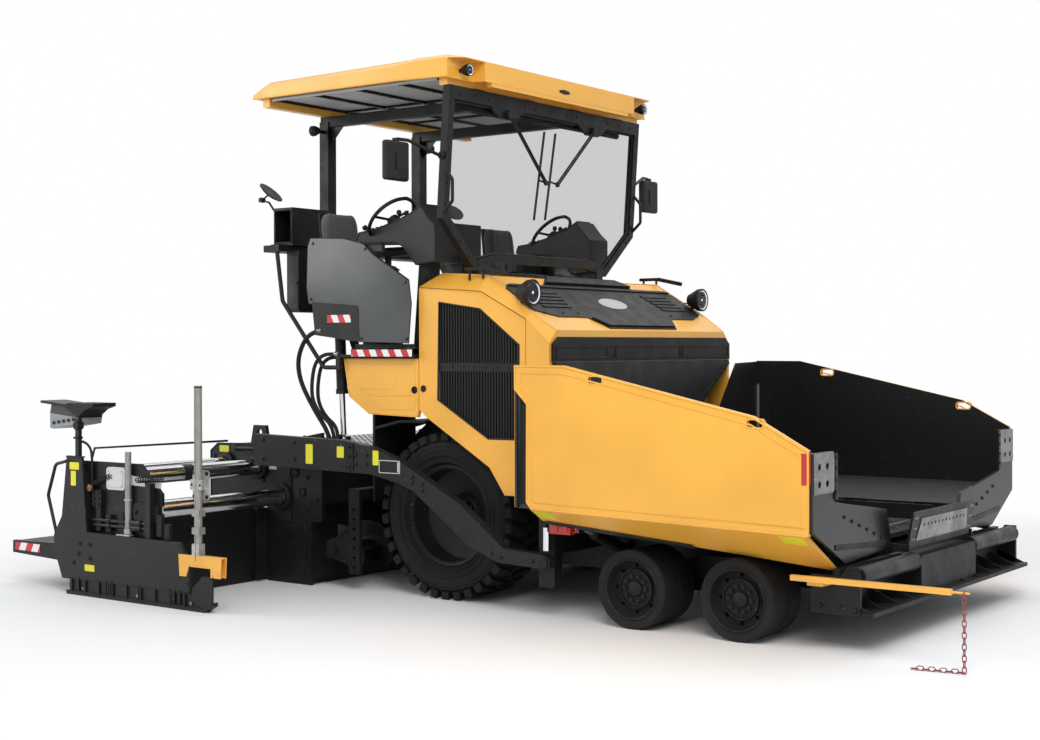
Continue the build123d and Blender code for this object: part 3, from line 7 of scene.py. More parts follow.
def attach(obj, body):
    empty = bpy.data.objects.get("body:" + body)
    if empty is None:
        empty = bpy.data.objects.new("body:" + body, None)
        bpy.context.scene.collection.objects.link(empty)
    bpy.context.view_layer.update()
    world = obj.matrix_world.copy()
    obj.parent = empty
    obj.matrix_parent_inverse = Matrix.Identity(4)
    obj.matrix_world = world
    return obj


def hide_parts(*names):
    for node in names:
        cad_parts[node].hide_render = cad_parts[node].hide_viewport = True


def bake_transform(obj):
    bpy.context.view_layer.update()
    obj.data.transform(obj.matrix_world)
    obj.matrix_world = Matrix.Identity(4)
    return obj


# Wheeled asphalt paver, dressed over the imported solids.
# Places below are in millimetres with x from the drive axle, as in the part's source, and P() turns
# them into the stored frame in metres.
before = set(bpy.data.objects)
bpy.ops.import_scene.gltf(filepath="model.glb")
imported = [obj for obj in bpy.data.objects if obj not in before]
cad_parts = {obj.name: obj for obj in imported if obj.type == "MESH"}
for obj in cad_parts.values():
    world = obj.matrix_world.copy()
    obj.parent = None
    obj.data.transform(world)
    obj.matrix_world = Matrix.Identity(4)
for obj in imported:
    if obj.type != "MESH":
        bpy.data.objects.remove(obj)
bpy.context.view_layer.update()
AXLE_SHIFT = 385
BOTH = RIGHT, LEFT = -1, 1
SIDES = ((RIGHT, "right"), (LEFT, "left"))
WING_Y = 1640
# The wing's crease: where it starts, its fall towards the nose, and the slope of the skirt below it
CREASE_X, CREASE_Z, CREASE_FALL, SKIRT_SLOPE = 1100, 734, 0.0228, 0.6


def mm(x):
    """A place along the machine, from mm ahead of the drive axle to the stored frame."""
    return (x - AXLE_SHIFT) / 1000


def P(x, y, z):
    return Vector((mm(x), y / 1000, z / 1000))


# Camera, at the photograph's place
camera_data = bpy.data.cameras.new("camera")
camera = bpy.data.objects.new("camera", camera_data)
bpy.context.scene.collection.objects.link(camera)
camera_data.sensor_width = 36
camera_data.lens = 54.1
camera_data.shift_x = -0.0341
camera_data.shift_y = -0.0187
camera_data.clip_end = 200
camera.matrix_world = (Matrix.Translation((6.622, -9.628, 1.771)) @ Matrix.Rotation(radians(35.56), 4, "Z")
                       @ Matrix.Rotation(radians(90 - 0.13), 4, "X")
                       @ Matrix.Rotation(radians(-0.15), 4, "Z"))
bpy.context.scene.camera = camera
bpy.context.scene.view_settings.view_transform = "Standard"


# Node helpers for materials
class Shader:
    """A node tree with one Principled shader and short calls for the usual nodes."""

    def __init__(self, name):
        self.material = bpy.data.materials.new(name)
        self.material.use_nodes = True
        self.tree = self.material.node_tree
        self.bsdf = self.tree.nodes["Principled BSDF"]
        self.place = self.node("ShaderNodeTexCoord").outputs["Object"]

    def node(self, kind, **settings):
        made = self.tree.nodes.new(kind)
        for key, value in settings.items():
            setattr(made, key, value)
        return made

    def link(self, source, target):
        if hasattr(source, "default_value") or hasattr(source, "is_output"):
            self.tree.links.new(source, target)
        else:
            target.default_value = source

    def math(self, operation, *values):
        made = self.node("ShaderNodeMath", operation=operation)
        for value, socket in zip(values, made.inputs):
            self.link(value, socket)
        return made.outputs[0]

    def times(self, first, second):
        return self.math("MULTIPLY", first, second)

    def plus(self, first, second):
        return self.math("ADD", first, second)

    def less(self, first, second):
        return self.math("SUBTRACT", first, second)

    def rest_of(self, value):
        return self.math("SUBTRACT", 1.0, value)

    def larger(self, first, second):
        return self.math("MAXIMUM", first, second)

    def size(self, value):
        return self.math("ABSOLUTE", value)

    def above(self, value, limit):
        return self.math("GREATER_THAN", value, limit)

    def below(self, value, limit):
        return self.math("LESS_THAN", value, limit)

    def between(self, value, low, high):
        return self.times(self.above(value, low), self.below(value, high))

    def split(self, vector):
        made = self.node("ShaderNodeSeparateXYZ")
        self.link(vector, made.inputs[0])
        return made.outputs

    def noise(self, scale, detail=4.0, stretch=(1, 1, 1)):
        mapping = self.node("ShaderNodeMapping")
        self.link(self.place, mapping.inputs["Vector"])
        mapping.inputs["Scale"].default_value = stretch
        made = self.node("ShaderNodeTexNoise")
        self.link(mapping.outputs[0], made.inputs["Vector"])
        made.inputs["Scale"].default_value = scale
        made.inputs["Detail"].default_value = detail
        return made.outputs["Fac"]

    def step(self, value, low, high):
        """0 below low, 1 above high, smooth between."""
        made = self.node("ShaderNodeMapRange", interpolation_type="SMOOTHSTEP")
        self.link(value, made.inputs[0])
        made.inputs[1].default_value = low
        made.inputs[2].default_value = high
        return made.outputs[0]

    def patches(self, scale, detail, low, high):
        return self.step(self.noise(scale, detail), low, high)

    def cells(self, scale, output="Distance", **settings):
        made = self.node("ShaderNodeTexVoronoi", **settings)
        self.link(self.place, made.inputs["Vector"])
        made.inputs["Scale"].default_value = scale
        return made.outputs[output]

    def normal_up(self):
        return self.split(self.node("ShaderNodeNewGeometry").outputs["Normal"])[2]

    def mix(self, factor, first, second):
        made = self.node("ShaderNodeMix", data_type="RGBA")
        self.link(factor, made.inputs[0])
        for value, socket in ((first, made.inputs[6]), (second, made.inputs[7])):
            if isinstance(value, tuple):
                socket.default_value = (*value, 1)
            else:
                self.link(value, socket)
        return made.outputs[2]

    def blend(self, factor, first, second):
        made = self.node("ShaderNodeMix", data_type="FLOAT")
        self.link(factor, made.inputs[0])
        self.link(first, made.inputs[2])
        self.link(second, made.inputs[3])
        return made.outputs[0]

    def bump(self, height, strength, distance=0.002):
        made = self.node("ShaderNodeBump")
        made.inputs["Strength"].default_value = strength
        made.inputs["Distance"].default_value = distance
        self.link(height, made.inputs["Height"])
        self.tree.links.new(made.outputs[0], self.bsdf.inputs["Normal"])

    def set(self, **values):
        for key, value in values.items():
            socket = self.bsdf.inputs[key.replace("_", " ")]
            if isinstance(value, tuple) and len(value) == 3:
                value = (*value, 1)
            self.link(value, socket)
        return self.material


def shade(color, share):
    return tuple(min(1, channel * share) for channel in color)


def worn(shader, strength=0.6):
    """Sparse small chips in the paint."""
    chips = shader.patches(45, 6, 0.70, 0.74)
    return shader.times(chips, strength)


def dust(shader, low, high, amount):
    """Dust that thins out between two heights, in metres."""
    z = shader.split(shader.place)[2]
    fade = shader.rest_of(shader.step(z, low, high))
    patchy = shader.patches(5, 6, 0.3, 0.8)
    return shader.times(shader.times(fade, patchy), amount)


YELLOW = (0.93, 0.465, 0.056)
BLACK = (0.0065, 0.0065, 0.0068)
GREY_DUST = (0.20, 0.18, 0.155)
STEEL = (0.32, 0.32, 0.33)
RED = (0.55, 0.02, 0.02)
WHITE = (0.80, 0.80, 0.79)
PALE_GREY = (0.30, 0.30, 0.295)


def paint(name, color, rough=0.32, speckle=260, orange_peel=0.06, edge=0.35, dirt=0.25, metal=STEEL,
          coat=0.25, gloss=0.5):
    """Sprayed paint with a fine orange peel, slight colour drift, scuffed edges and dust low down."""
    s = Shader(name)
    base = s.mix(s.patches(1.7, 5, 0.2, 0.8), shade(color, 0.86), color)
    base = s.mix(dust(s, 0.2, 1.5, dirt), base, GREY_DUST)
    base = s.mix(worn(s, edge), base, metal)
    s.bump(s.noise(speckle, 2), orange_peel, 0.001)
    rough_now = s.blend(s.patches(8, 6, 0.3, 0.75), rough, min(1.0, rough + 0.14))
    return s.set(Base_Color=base, Roughness=rough_now, Coat_Weight=coat, Coat_Roughness=0.12,
                 Specular_IOR_Level=gloss)


def cast_metal(name, color, rough=0.5, metallic=0.85, scratch=0.25):
    """Bare or worn metal with drawn scratches and stains."""
    s = Shader(name)
    streaks = s.noise(18, 8, (1, 1, 9))
    stains = s.patches(6, 7, 0.35, 0.7)
    base = s.mix(stains, shade(color, 0.6), color)
    base = s.mix(s.step(streaks, 0.55, 0.75), base, shade(color, 1.4))
    s.bump(streaks, scratch, 0.001)
    return s.set(Base_Color=base, Metallic=metallic, Roughness=s.blend(stains, rough, rough * 0.7))


def rubber(name, color, dirt=0.5, grain=150):
    s = Shader(name)
    base = s.mix(s.patches(3, 6, 0.3, 0.8), color, shade(color, 1.7))
    base = s.mix(dust(s, 0.02, 0.7, dirt), base, GREY_DUST)
    s.bump(s.noise(grain, 5), 0.25, 0.002)
    return s.set(Base_Color=base, Roughness=0.82, Specular_IOR_Level=0.25)


def plastic(name, color, grain=420, rough=0.6, bump=0.2):
    """Moulded plastic with a leather-like grain."""
    s = Shader(name)
    base = s.mix(s.patches(4, 4, 0.3, 0.75), shade(color, 0.85), color)
    s.bump(s.cells(grain, feature="SMOOTH_F1"), bump, 0.0006)
    rough_now = s.blend(s.patches(12, 4, 0.4, 0.7), rough, rough + 0.12)
    return s.set(Base_Color=base, Roughness=rough_now, Specular_IOR_Level=0.3)


def glossy(name, color, rough=0.12, metallic=1.0):
    """Chrome or polished metal with faint turned lines."""
    s = Shader(name)
    lines = s.noise(30, 3, (1, 14, 1))
    s.bump(lines, 0.03, 0.0005)
    smear = s.blend(s.patches(9, 5, 0.4, 0.7), rough, rough + 0.12)
    return s.set(Base_Color=color, Metallic=metallic, Roughness=smear)


def clear(name, color, alpha_rough=0.02, transmission=1.0):
    s = Shader(name)
    smear = s.blend(s.patches(3, 5, 0.5, 0.8), alpha_rough, alpha_rough + 0.05)
    return s.set(Base_Color=color, Transmission_Weight=transmission, IOR=1.08, Roughness=smear)


def striped(name, pitch, slant):
    """Red and white reflective stripes with a fine honeycomb relief."""
    s = Shader(name)
    x, y, z = s.split(s.place)
    phase = s.math("FRACT", s.math("DIVIDE", s.plus(x, s.times(z, slant)), pitch))
    red = s.above(phase, 0.5)
    s.bump(s.cells(300), 0.15, 0.0006)
    return s.set(Base_Color=s.mix(red, WHITE, RED), Roughness=0.35)


def slatted(name, color, pitch, depth=0.5):
    """Perforated sheet with upright ribs, and holes painted darker as painted shade of the space behind
    them.
    """
    s = Shader(name)
    x, y, z = s.split(s.place)
    wave = s.math("SINE", s.times(x, 2 * pi / pitch))
    across = s.math("SINE", s.times(z, 2 * pi / pitch))
    # The holes are painted darker in the base colour, a painted shade of the dark space behind the sheet;
    # they also dent the bump.
    holes = s.step(s.times(wave, across), 0.1, 0.5)
    base = s.mix(holes, color, shade(color, 0.15))
    s.bump(s.plus(wave, s.times(holes, -1.0)), depth, 0.002)
    return s.set(Base_Color=base, Roughness=0.5, Specular_IOR_Level=0.25)


YELLOW_PAINT = paint("yellow_paint_sprayed", YELLOW, 0.30)
BLACK_PAINT = paint("black_paint_sprayed", BLACK, 0.46, orange_peel=0.12, dirt=0.02, coat=0.02, gloss=0.28)
DARK_STEEL = cast_metal("dark_steel_rolled", (0.013, 0.013, 0.014), 0.5, 0.3, 0.2)
WORN_STEEL = cast_metal("worn_steel_plate", (0.30, 0.30, 0.295), 0.42, 0.8, 0.3)
BRIGHT_STEEL = cast_metal("bright_steel_plate", PALE_GREY, 0.38, 0.5, 0.15)
CHROME = glossy("chrome_ground", (0.75, 0.76, 0.78), 0.10)
TYRE = rubber("tyre_rubber_worn", (0.007, 0.007, 0.007), 0.04)
SOLID_RUBBER = rubber("solid_rubber_band", (0.009, 0.009, 0.009), 0.05, 90)
GREY_PLASTIC = plastic("grey_plastic_moulded", (0.021, 0.022, 0.023))
DARK_PLASTIC = plastic("dark_plastic_moulded", (0.007, 0.007, 0.0075), 300, 0.5)
PALE_PLASTIC = plastic("pale_plastic_moulded", (0.52, 0.52, 0.50), 300, 0.55)
GLASS = clear("windscreen_glass", (0.60, 0.60, 0.595))
IRON = cast_metal("engine_cast_iron", (0.06, 0.06, 0.06), 0.65, 0.6, 0.4)
CHAIN_RED = paint("chain_red_paint", (0.30, 0.015, 0.02), 0.35, edge=0.6)
RED_PAINT = paint("red_paint_gloss", RED, 0.3)
STRIPES_X = striped("stripes_along", 0.12, 0.5)
MESH_SHEET = slatted("perforated_sheet", (0.013, 0.013, 0.0135), 0.0125)
PALE_GREY_PLASTIC = plastic("pale_grey_plastic", (0.30, 0.31, 0.32), 300, 0.5)
LABEL = paint("bare_yellow_label", (0.80, 0.74, 0.02), 0.4, dirt=0.0, edge=0.05, coat=0.1)
BRASS = cast_metal("brass_knob", (0.30, 0.17, 0.09), 0.5, 0.8, 0.2)
WHITE_PAINT = paint("white_paint_gloss", (0.66, 0.66, 0.64), 0.35, dirt=0.05, edge=0.15)
REFLECTOR_X = striped("stripes_on_steps", 0.15, -0.5)
PIPING = rubber("seat_piping", (0.012, 0.012, 0.012), 0.0, 200)
POLE_METAL = cast_metal("anodised_pole", (0.50, 0.50, 0.48), 0.42, 0.55, 0.15)


def worn_black(s, drift, dark, lit, chips):
    """Black paint that drifts between two tones, with chips down to the steel."""
    return s.mix(worn(s, chips), s.mix(drift, dark, lit), STEEL)


def wing_material():
    """Yellow outside and on the rims, black inside, and a worn steel floor."""
    s = Shader("wing_paint_and_steel")
    x, y, z = s.split(s.place)
    up = s.above(s.normal_up(), 0.5)
    outside = s.above(s.size(y), (WING_Y - 1.5) / 1000)
    rim = s.above(s.size(y), (WING_Y - 24.5) / 1000)
    behind = s.below(x, mm(970))
    yellow = s.larger(outside, s.larger(s.times(rim, up), behind))
    yellow = s.times(yellow, s.rest_of(s.below(z, 0.69)))
    # The skirt that tucks in below the crease: its outer skin and front end are yellow too
    tuck = s.less(s.times(s.size(y), SKIRT_SLOPE), s.times(s.less(x, mm(CREASE_X)), CREASE_FALL))
    front_end = s.times(s.above(x, mm(3026)), 0.02)
    skin = (CREASE_Z + 6 - SKIRT_SLOPE * WING_Y) / 1000
    yellow = s.larger(yellow, s.below(s.less(s.less(z, tuck), front_end), skin))
    floor = s.times(up, s.below(z, 0.80))
    scratches = s.step(s.noise(14, 8, (1, 6, 1)), 0.4, 0.7)
    inner = s.mix(floor, BLACK, s.mix(scratches, (0.045, 0.045, 0.043), (0.10, 0.10, 0.095)))
    outer = s.mix(s.patches(1.7, 5, 0.2, 0.8), shade(YELLOW, 0.86), YELLOW)
    base = s.mix(worn(s, 0.3), s.mix(yellow, inner, outer), STEEL)
    s.bump(s.noise(230, 2), 0.06, 0.001)
    s.set(Metallic=s.times(floor, 0.6), Roughness=s.blend(floor, 0.32, 0.5))
    return s.set(Base_Color=base, Coat_Weight=0.2, Coat_Roughness=0.12)


# Extending tubes of the screed: x, z and radius
TUBES = ((-1540, 650, 65), (-1790, 865, 60), (-2140, 880, 45))


def extension_material():
    """Black plates with ground chrome on the extending tubes."""
    s = Shader("extension_paint_and_chrome")
    x, y, z = s.split(s.place)
    chrome = 0.0
    for tube_x, tube_z, radius in TUBES:
        dx = s.less(x, mm(tube_x))
        dz = s.less(z, tube_z / 1000)
        away = s.math("SQRT", s.plus(s.times(dx, dx), s.times(dz, dz)))
        inside = s.below(away, (radius + 2) / 1000)
        chrome = s.larger(chrome, inside)
    chrome = s.times(chrome, s.below(s.size(y), 2.434))
    # Dark stop ring on the upper tube
    ring = s.times(s.between(s.size(y), 1.9, 2.0), s.between(z, 0.79, 0.94))
    ring = s.times(ring, s.above(x, mm(-1865)))
    chrome = s.times(chrome, s.rest_of(ring))
    black = worn_black(s, s.patches(2.2, 6, 0.3, 0.8), BLACK, (0.014, 0.014, 0.015), 0.5)
    s.bump(s.noise(200, 3), 0.08, 0.001)
    s.set(Metallic=chrome, Roughness=s.blend(chrome, 0.42, 0.14))
    return s.set(Base_Color=s.mix(chrome, black, (0.72, 0.73, 0.75)), Specular_IOR_Level=0.3)


def station_material():
    """Dark moulded plastic, a smoky sheet on the side shield and black paint on its skirt."""
    s = Shader("station_plastic_and_sheet")
    x, y, z = s.split(s.place)
    across = s.size(y)
    low = s.below(z, 2.06)
    rear = s.below(x, mm(-704))
    skirt = s.larger(s.times(low, rear), s.above(across, 1.2796))
    sheet = s.times(s.above(across, 1.2726), s.rest_of(skirt))
    skirt = s.times(skirt, s.above(across, 1.2716))
    drift = s.patches(4, 4, 0.3, 0.75)
    plain = s.mix(drift, (0.016, 0.017, 0.018), (0.023, 0.024, 0.025))
    smoke = s.mix(s.patches(1.4, 3, 0.3, 0.7), (0.046, 0.050, 0.049), (0.078, 0.084, 0.082))
    base = s.mix(skirt, s.mix(sheet, plain, smoke), BLACK)
    s.bump(s.times(s.noise(500, 2), s.rest_of(sheet)), 0.15, 0.0006)
    rough = s.blend(sheet, s.blend(drift, 0.5, 0.62), s.blend(s.patches(3, 5, 0.4, 0.8), 0.14, 0.22))
    return s.set(Base_Color=base, Roughness=rough, Specular_IOR_Level=0.4)


def gate_material():
    """Black plates with light poles and clamps, and the yellow bracket under the sensor pole."""
    s = Shader("gate_paint_and_poles")
    x, y, z = s.split(s.place)
    sensor = s.times(s.between(x, mm(-1095), mm(-1005)), s.above(z, 0.3355))
    short = s.times(s.between(x, mm(-1835), mm(-1765)), s.above(z, 0.462))
    pale = s.larger(sensor, short)
    yellow = s.times(s.above(x, mm(-1109)), s.between(z, 0.2405, 0.3354))
    box = s.times(s.between(z, 1.262, 1.352), s.below(x, mm(-2302)))
    drift = s.patches(1.9, 5, 0.25, 0.8)
    black = worn_black(s, drift, (0.0085, 0.0085, 0.0085), (0.015, 0.015, 0.0145), 0.4)
    streaks = s.noise(20, 6, (9, 9, 1))
    light = s.mix(s.step(streaks, 0.35, 0.7), (0.27, 0.27, 0.255), (0.38, 0.375, 0.355))
    black = s.mix(box, black, (0.055, 0.057, 0.058))
    base = s.mix(yellow, s.mix(pale, black, light), YELLOW)
    s.bump(s.noise(240, 2), 0.07, 0.001)
    s.set(Metallic=s.times(pale, 0.45))
    return s.set(Base_Color=base, Roughness=s.blend(pale, 0.42, 0.36), Specular_IOR_Level=0.3)


def screed_material():
    """Black frame with a worn light walkway on top."""
    s = Shader("screed_paint_and_deck")
    z = s.split(s.place)[2]
    deck = s.times(s.above(s.normal_up(), 0.6), s.above(z, 1.0))
    studs = s.step(s.cells(34, feature="DISTANCE_TO_EDGE"), 0.05, 0.12)
    black = worn_black(s, s.patches(2.2, 6, 0.3, 0.8), BLACK, (0.014, 0.014, 0.015), 0.5)
    pale = s.mix(s.patches(7, 7, 0.3, 0.7), (0.34, 0.34, 0.33), (0.60, 0.60, 0.58))
    s.bump(s.plus(s.noise(200, 3), s.times(studs, deck)), 0.12, 0.001)
    s.set(Metallic=s.times(deck, 0.35))
    return s.set(Base_Color=s.mix(deck, black, pale), Roughness=s.blend(deck, 0.44, 0.38),
                 Specular_IOR_Level=0.3)


WING_MATERIAL = wing_material()
EXTENSION_MATERIAL = extension_material()
ARM_MATERIAL = paint("arm_black_paint", (0.010, 0.010, 0.0105), 0.42, orange_peel=0.14, edge=0.5, dirt=0.02,
                     coat=0.02, gloss=0.3)
STATION_MATERIAL = station_material()
GATE_MATERIAL = gate_material()
SCREED_MATERIAL = screed_material()

# The carried-over nodes of each material; left and right nodes share one
NODE_MATERIALS = {stem: material for material, stems in (
    (BLACK_PAINT, "chassis hood_trim front_panel platform canopy_frame bogie_beams push_beam"),
    (BLACK_PAINT, "drive_rim knuckle_1 knuckle_2 wing_barrel lift_barrel"),
    (YELLOW_PAINT, "bodywork canopy_roof guide_bar side_door"), (DARK_PLASTIC, "work_lamps wipers mirrors"),
    (DARK_STEEL, "hopper_bed apron push_roller auger"), (SOLID_RUBBER, "bogie_wheel_1 bogie_wheel_2"),
    (CHROME, "wing_rod lift_rod"), (IRON, "engine"), (GLASS, "windscreen"), (PALE_PLASTIC, "roof_liner"),
    (WORN_STEEL, "conveyor"), (CHAIN_RED, "guide_chain"), (ARM_MATERIAL, "tow_arms"),
    (SCREED_MATERIAL, "screed"), (MESH_SHEET, "door_grille"), (STATION_MATERIAL, "station"),
    (GREY_PLASTIC, "seat"), (TYRE, "drive_tyre"), (WING_MATERIAL, "hopper_wing"),
    (EXTENSION_MATERIAL, "extension"), (GATE_MATERIAL, "end_gate"),
) for stem in stems.split()}
for name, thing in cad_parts.items():
    stem = name.rsplit("_", 1)[0] if name.endswith(("_right", "_left")) else name
    for index in range(len(thing.material_slots)):
        thing.material_slots[index].material = NODE_MATERIALS[stem]


# Bodies that sit in the middle and take no side ending, and the outward way on a side
MIDDLE_BODIES = ("tractor", "screed", "apron")
OUT = (0, 1, 0)


def sided(stem, side):
    """The name of a piece or body on one side; side 0 leaves it as it is."""
    return stem + {RIGHT: "_right", LEFT: "_left", 0: ""}[side]


def at_x(x, points):
    return [(x, y, z) for y, z in points]


def at_y(y, points):
    return [(x, y, z) for x, z in points]


def around(count, start=0.0):
    """Cosine and sine of evenly spread turns."""
    turns = [2 * pi * (i + start) / count for i in range(count)]
    return [(cos(turn), sin(turn)) for turn in turns]


class Pile:
    """Shapes that go into one mesh. On a side, y counts outwards and names get the side's ending."""

    def __init__(self, side=0):
        self.bm = bmesh.new()
        self.side = side

    def at(self, place):
        x, y, z = place
        return P(x, (self.side or 1) * y, z)

    def way(self, vector):
        x, y, z = vector
        return Vector((x, (self.side or 1) * y, z))

    def _prism(self, base, shift):
        low = [self.bm.verts.new(v) for v in base]
        high = [self.bm.verts.new(v + shift) for v in base]
        count = len(base)
        self.bm.faces.new(low)
        self.bm.faces.new(list(reversed(high)))
        for i in range(count):
            j = (i + 1) % count
            self.bm.faces.new((low[j], low[i], high[i], high[j]))

    def prism(self, points, shift):
        """Points in mm drawn out along a vector in mm."""
        self._prism([self.at(p) for p in points], self.way(shift) / 1000)

    def box(self, x0, x1, y0, y1, z0, z1):
        self.prism([(x0, y0, z0), (x1, y0, z0), (x1, y1, z0), (x0, y1, z0)], (0, 0, z1 - z0))

    def plate(self, outline, shift, holes=()):
        """A flat plate with round holes: outline points, a thickness vector, and (centre, radius) pairs."""
        shift = self.way(shift) / 1000
        loops = [[self.at(p) for p in outline]]
        normal = shift.normalized()
        side_a = normal.orthogonal().normalized()
        side_b = normal.cross(side_a)
        for centre, radius in holes:
            loops.append([self.at(centre) + (side_a * a + side_b * b) * radius / 1000
                          for a, b in around(20)])
        edges = []
        for loop in loops:
            verts = [self.bm.verts.new(v) for v in loop]
            edges += [self.bm.edges.new((verts[i], verts[(i + 1) % len(verts)])) for i in range(len(verts))]
        filled = bmesh.ops.triangle_fill(self.bm, edges=edges, use_beauty=True, use_dissolve=False)
        faces = [f for f in filled["geom"] if isinstance(f, bmesh.types.BMFace)]
        made = bmesh.ops.extrude_face_region(self.bm, geom=faces, use_keep_orig=True)
        moved = [v for v in made["geom"] if isinstance(v, bmesh.types.BMVert)]
        bmesh.ops.translate(self.bm, verts=moved, vec=shift)

    def turned(self, place, axis, profile, segments=32):
        """A (distance along the axis, radius) profile in mm, turned about the axis at a place."""
        axis = self.way(axis).normalized()
        side_a = axis.orthogonal().normalized()
        side_b = axis.cross(side_a)
        rings = []
        for along, radius in profile:
            centre = self.at(place) + axis * along / 1000
            outs = [side_a * a + side_b * b for a, b in around(segments)] if radius > 0 else [Vector()]
            rings.append([self.bm.verts.new(centre + out * radius / 1000) for out in outs])
        for first, second in zip(rings, rings[1:]):
            for i in range(segments):
                j = (i + 1) % segments
                if len(first) == 1 and len(second) == 1:
                    continue
                if len(first) == 1:
                    self.bm.faces.new((first[0], second[j], second[i]))
                elif len(second) == 1:
                    self.bm.faces.new((first[i], first[j], second[0]))
                else:
                    self.bm.faces.new((first[i], first[j], second[j], second[i]))

    def side_plate(self, outline, y, thick):
        """A flat plate on a side face: an (x, z) outline drawn out along y."""
        self.prism(at_y(y, outline), (0, thick, 0))

    def bolts(self, places, y, radius, height):
        """Hexagon heads at (x, z) places on a side face."""
        for x, z in places:
            self.bolt((x, y, z), OUT, radius, height)

    def bolt(self, place, axis, radius, height):
        """A hexagon head on its washer."""
        self.turned(place, axis, [(-1, 0), (-1, radius * 1.35), (1.6, radius * 1.35), (1.6, radius * 1.1)],
                    20)
        self.turned(place, axis, [(1, radius * 1.1), (height * 0.85, radius * 1.1), (height, radius * 0.9),
                                  (height, 0)], 6)

    def done(self, name, material, body="tractor", bevel=0.0):
        """Turn the shapes into a piece and start an empty pile."""
        bmesh.ops.recalc_face_normals(self.bm, faces=self.bm.faces)
        name = sided(name, self.side)
        mesh = bpy.data.meshes.new(name)
        self.bm.to_mesh(mesh)
        self.bm.free()
        self.bm = bmesh.new()
        placed(name, mesh, material, body, self.side, bevel)


def linked(name, data):
    thing = bpy.data.objects.new(name, data)
    bpy.context.scene.collection.objects.link(thing)
    return thing


def placed(name, data, material, body, side, bevel=0.0):
    thing = linked(name, data)
    data.materials.append(material)
    if bevel:
        soft = thing.modifiers.new("soft_edges", "BEVEL")
        soft.width = bevel
        soft.segments = 2
        soft.limit_method = "ANGLE"
        soft.angle_limit = radians(40)
    if isinstance(data, bpy.types.Mesh):
        data.shade_smooth()
        data.set_sharp_from_angle(angle=radians(35))
    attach(thing, body if body in MIDDLE_BODIES else sided(body, side))


def tube(name, places, radius, smooth, closed=False, resolution=3):
    """A curve with a round section, through places in the stored frame; the radius is in mm."""
    curve = bpy.data.curves.new(name, "CURVE")
    curve.dimensions = "3D"
    curve.bevel_depth = radius / 1000
    curve.bevel_resolution = resolution
    curve.use_fill_caps = True
    spline = curve.splines.new("NURBS" if smooth else "POLY")
    spline.points.add(len(places) - 1)
    for point, place in zip(spline.points, places):
        point.co = (*place, 1)
    spline.use_cyclic_u = closed
    if smooth:
        spline.order_u = 3
        spline.use_endpoint_u = True
        spline.resolution_u = 8
    return curve


def line(name, points, radius, material, body="tractor", closed=False, smooth=False,
         resolution=3, side=0):
    """A round bar, pipe or bead along points in mm."""
    name = sided(name, side)
    curve = tube(name, [P(x, (side or 1) * y, z) for x, y, z in points], radius, smooth, closed, resolution)
    placed(name, curve, material, body, side)


def hull_of(outline, inset):
    """An outline of (a, b) points moved inwards by a distance."""
    count = len(outline)
    area = sum(a[0] * b[1] - b[0] * a[1] for a, b in zip(outline, outline[1:] + outline[:1]))
    turn = 1 if area > 0 else -1
    moved = []
    for i in range(count):
        before, here, after = Vector(outline[i - 1]), Vector(outline[i]), Vector(outline[(i + 1) % count])
        first, second = (here - before).normalized(), (after - here).normalized()
        normal_a = Vector((-first.y, first.x)) * turn
        normal_b = Vector((-second.y, second.x)) * turn
        middle = (normal_a + normal_b).normalized()
        moved.append(tuple(here + middle * inset / max(0.35, middle.dot(normal_a))))
    return moved


# Stage: white floor and soft light
floor_mesh = bpy.data.meshes.new("floor")
reach = 60
floor_mesh.from_pydata([(-reach, -reach, 0), (reach, -reach, 0), (reach, reach, 0), (-reach, reach, 0)], [],
                       [(0, 1, 2, 3)])
floor = linked("floor", floor_mesh)
s = Shader("white_floor")
s.set(Base_Color=(0.90, 0.90, 0.90), Roughness=0.75, Specular_IOR_Level=0.2)
s.bump(s.noise(40, 3), 0.02, 0.0005)
distance = s.node("ShaderNodeVectorMath", operation="LENGTH")
s.link(s.place, distance.inputs[0])
far = s.step(distance.outputs["Value"], 4.2, 7.5)
ray = s.node("ShaderNodeLightPath").outputs
direct = s.larger(ray["Is Camera Ray"], ray["Is Transmission Ray"])
glow = s.node("ShaderNodeEmission")
glow.inputs["Color"].default_value = (1, 1, 1, 1)
fade = s.node("ShaderNodeMixShader")
s.link(s.times(direct, far), fade.inputs[0])
s.link(s.bsdf.outputs[0], fade.inputs[1])
s.link(glow.outputs[0], fade.inputs[2])
s.link(fade.outputs[0], s.tree.nodes["Material Output"].inputs["Surface"])
floor_mesh.materials.append(s.material)

world = bpy.data.worlds.new("studio")
bpy.context.scene.world = world
world.use_nodes = True
tree = world.node_tree
background = tree.nodes["Background"]
background.inputs["Color"].default_value = (0.93, 0.96, 1.0, 1)
background.inputs["Strength"].default_value = 0.62
white = tree.nodes.new("ShaderNodeBackground")
white.inputs["Color"].default_value = (1, 1, 1, 1)
white.inputs["Strength"].default_value = 1.0
paths = tree.nodes.new("ShaderNodeLightPath")
seen = paths.outputs["Is Camera Ray"]
for kind in ("Is Glossy Ray", "Is Transmission Ray"):
    either = tree.nodes.new("ShaderNodeMath")
    either.operation = "MAXIMUM"
    tree.links.new(seen, either.inputs[0])
    tree.links.new(paths.outputs[kind], either.inputs[1])
    seen = either.outputs[0]
switch = tree.nodes.new("ShaderNodeMixShader")
tree.links.new(seen, switch.inputs[0])
tree.links.new(background.outputs[0], switch.inputs[1])
tree.links.new(white.outputs[0], switch.inputs[2])
tree.links.new(switch.outputs[0], tree.nodes["World Output"].inputs["Surface"])


def area_light(name, place, target, size, power):
    data = bpy.data.lights.new(name, "AREA")
    data.shape = "RECTANGLE"
    data.size, data.size_y = size
    data.energy = power
    lamp = linked(name, data)
    lamp.location = place
    lamp.rotation_euler = (Vector(target) - Vector(place)).to_track_quat("-Z", "Y").to_euler()


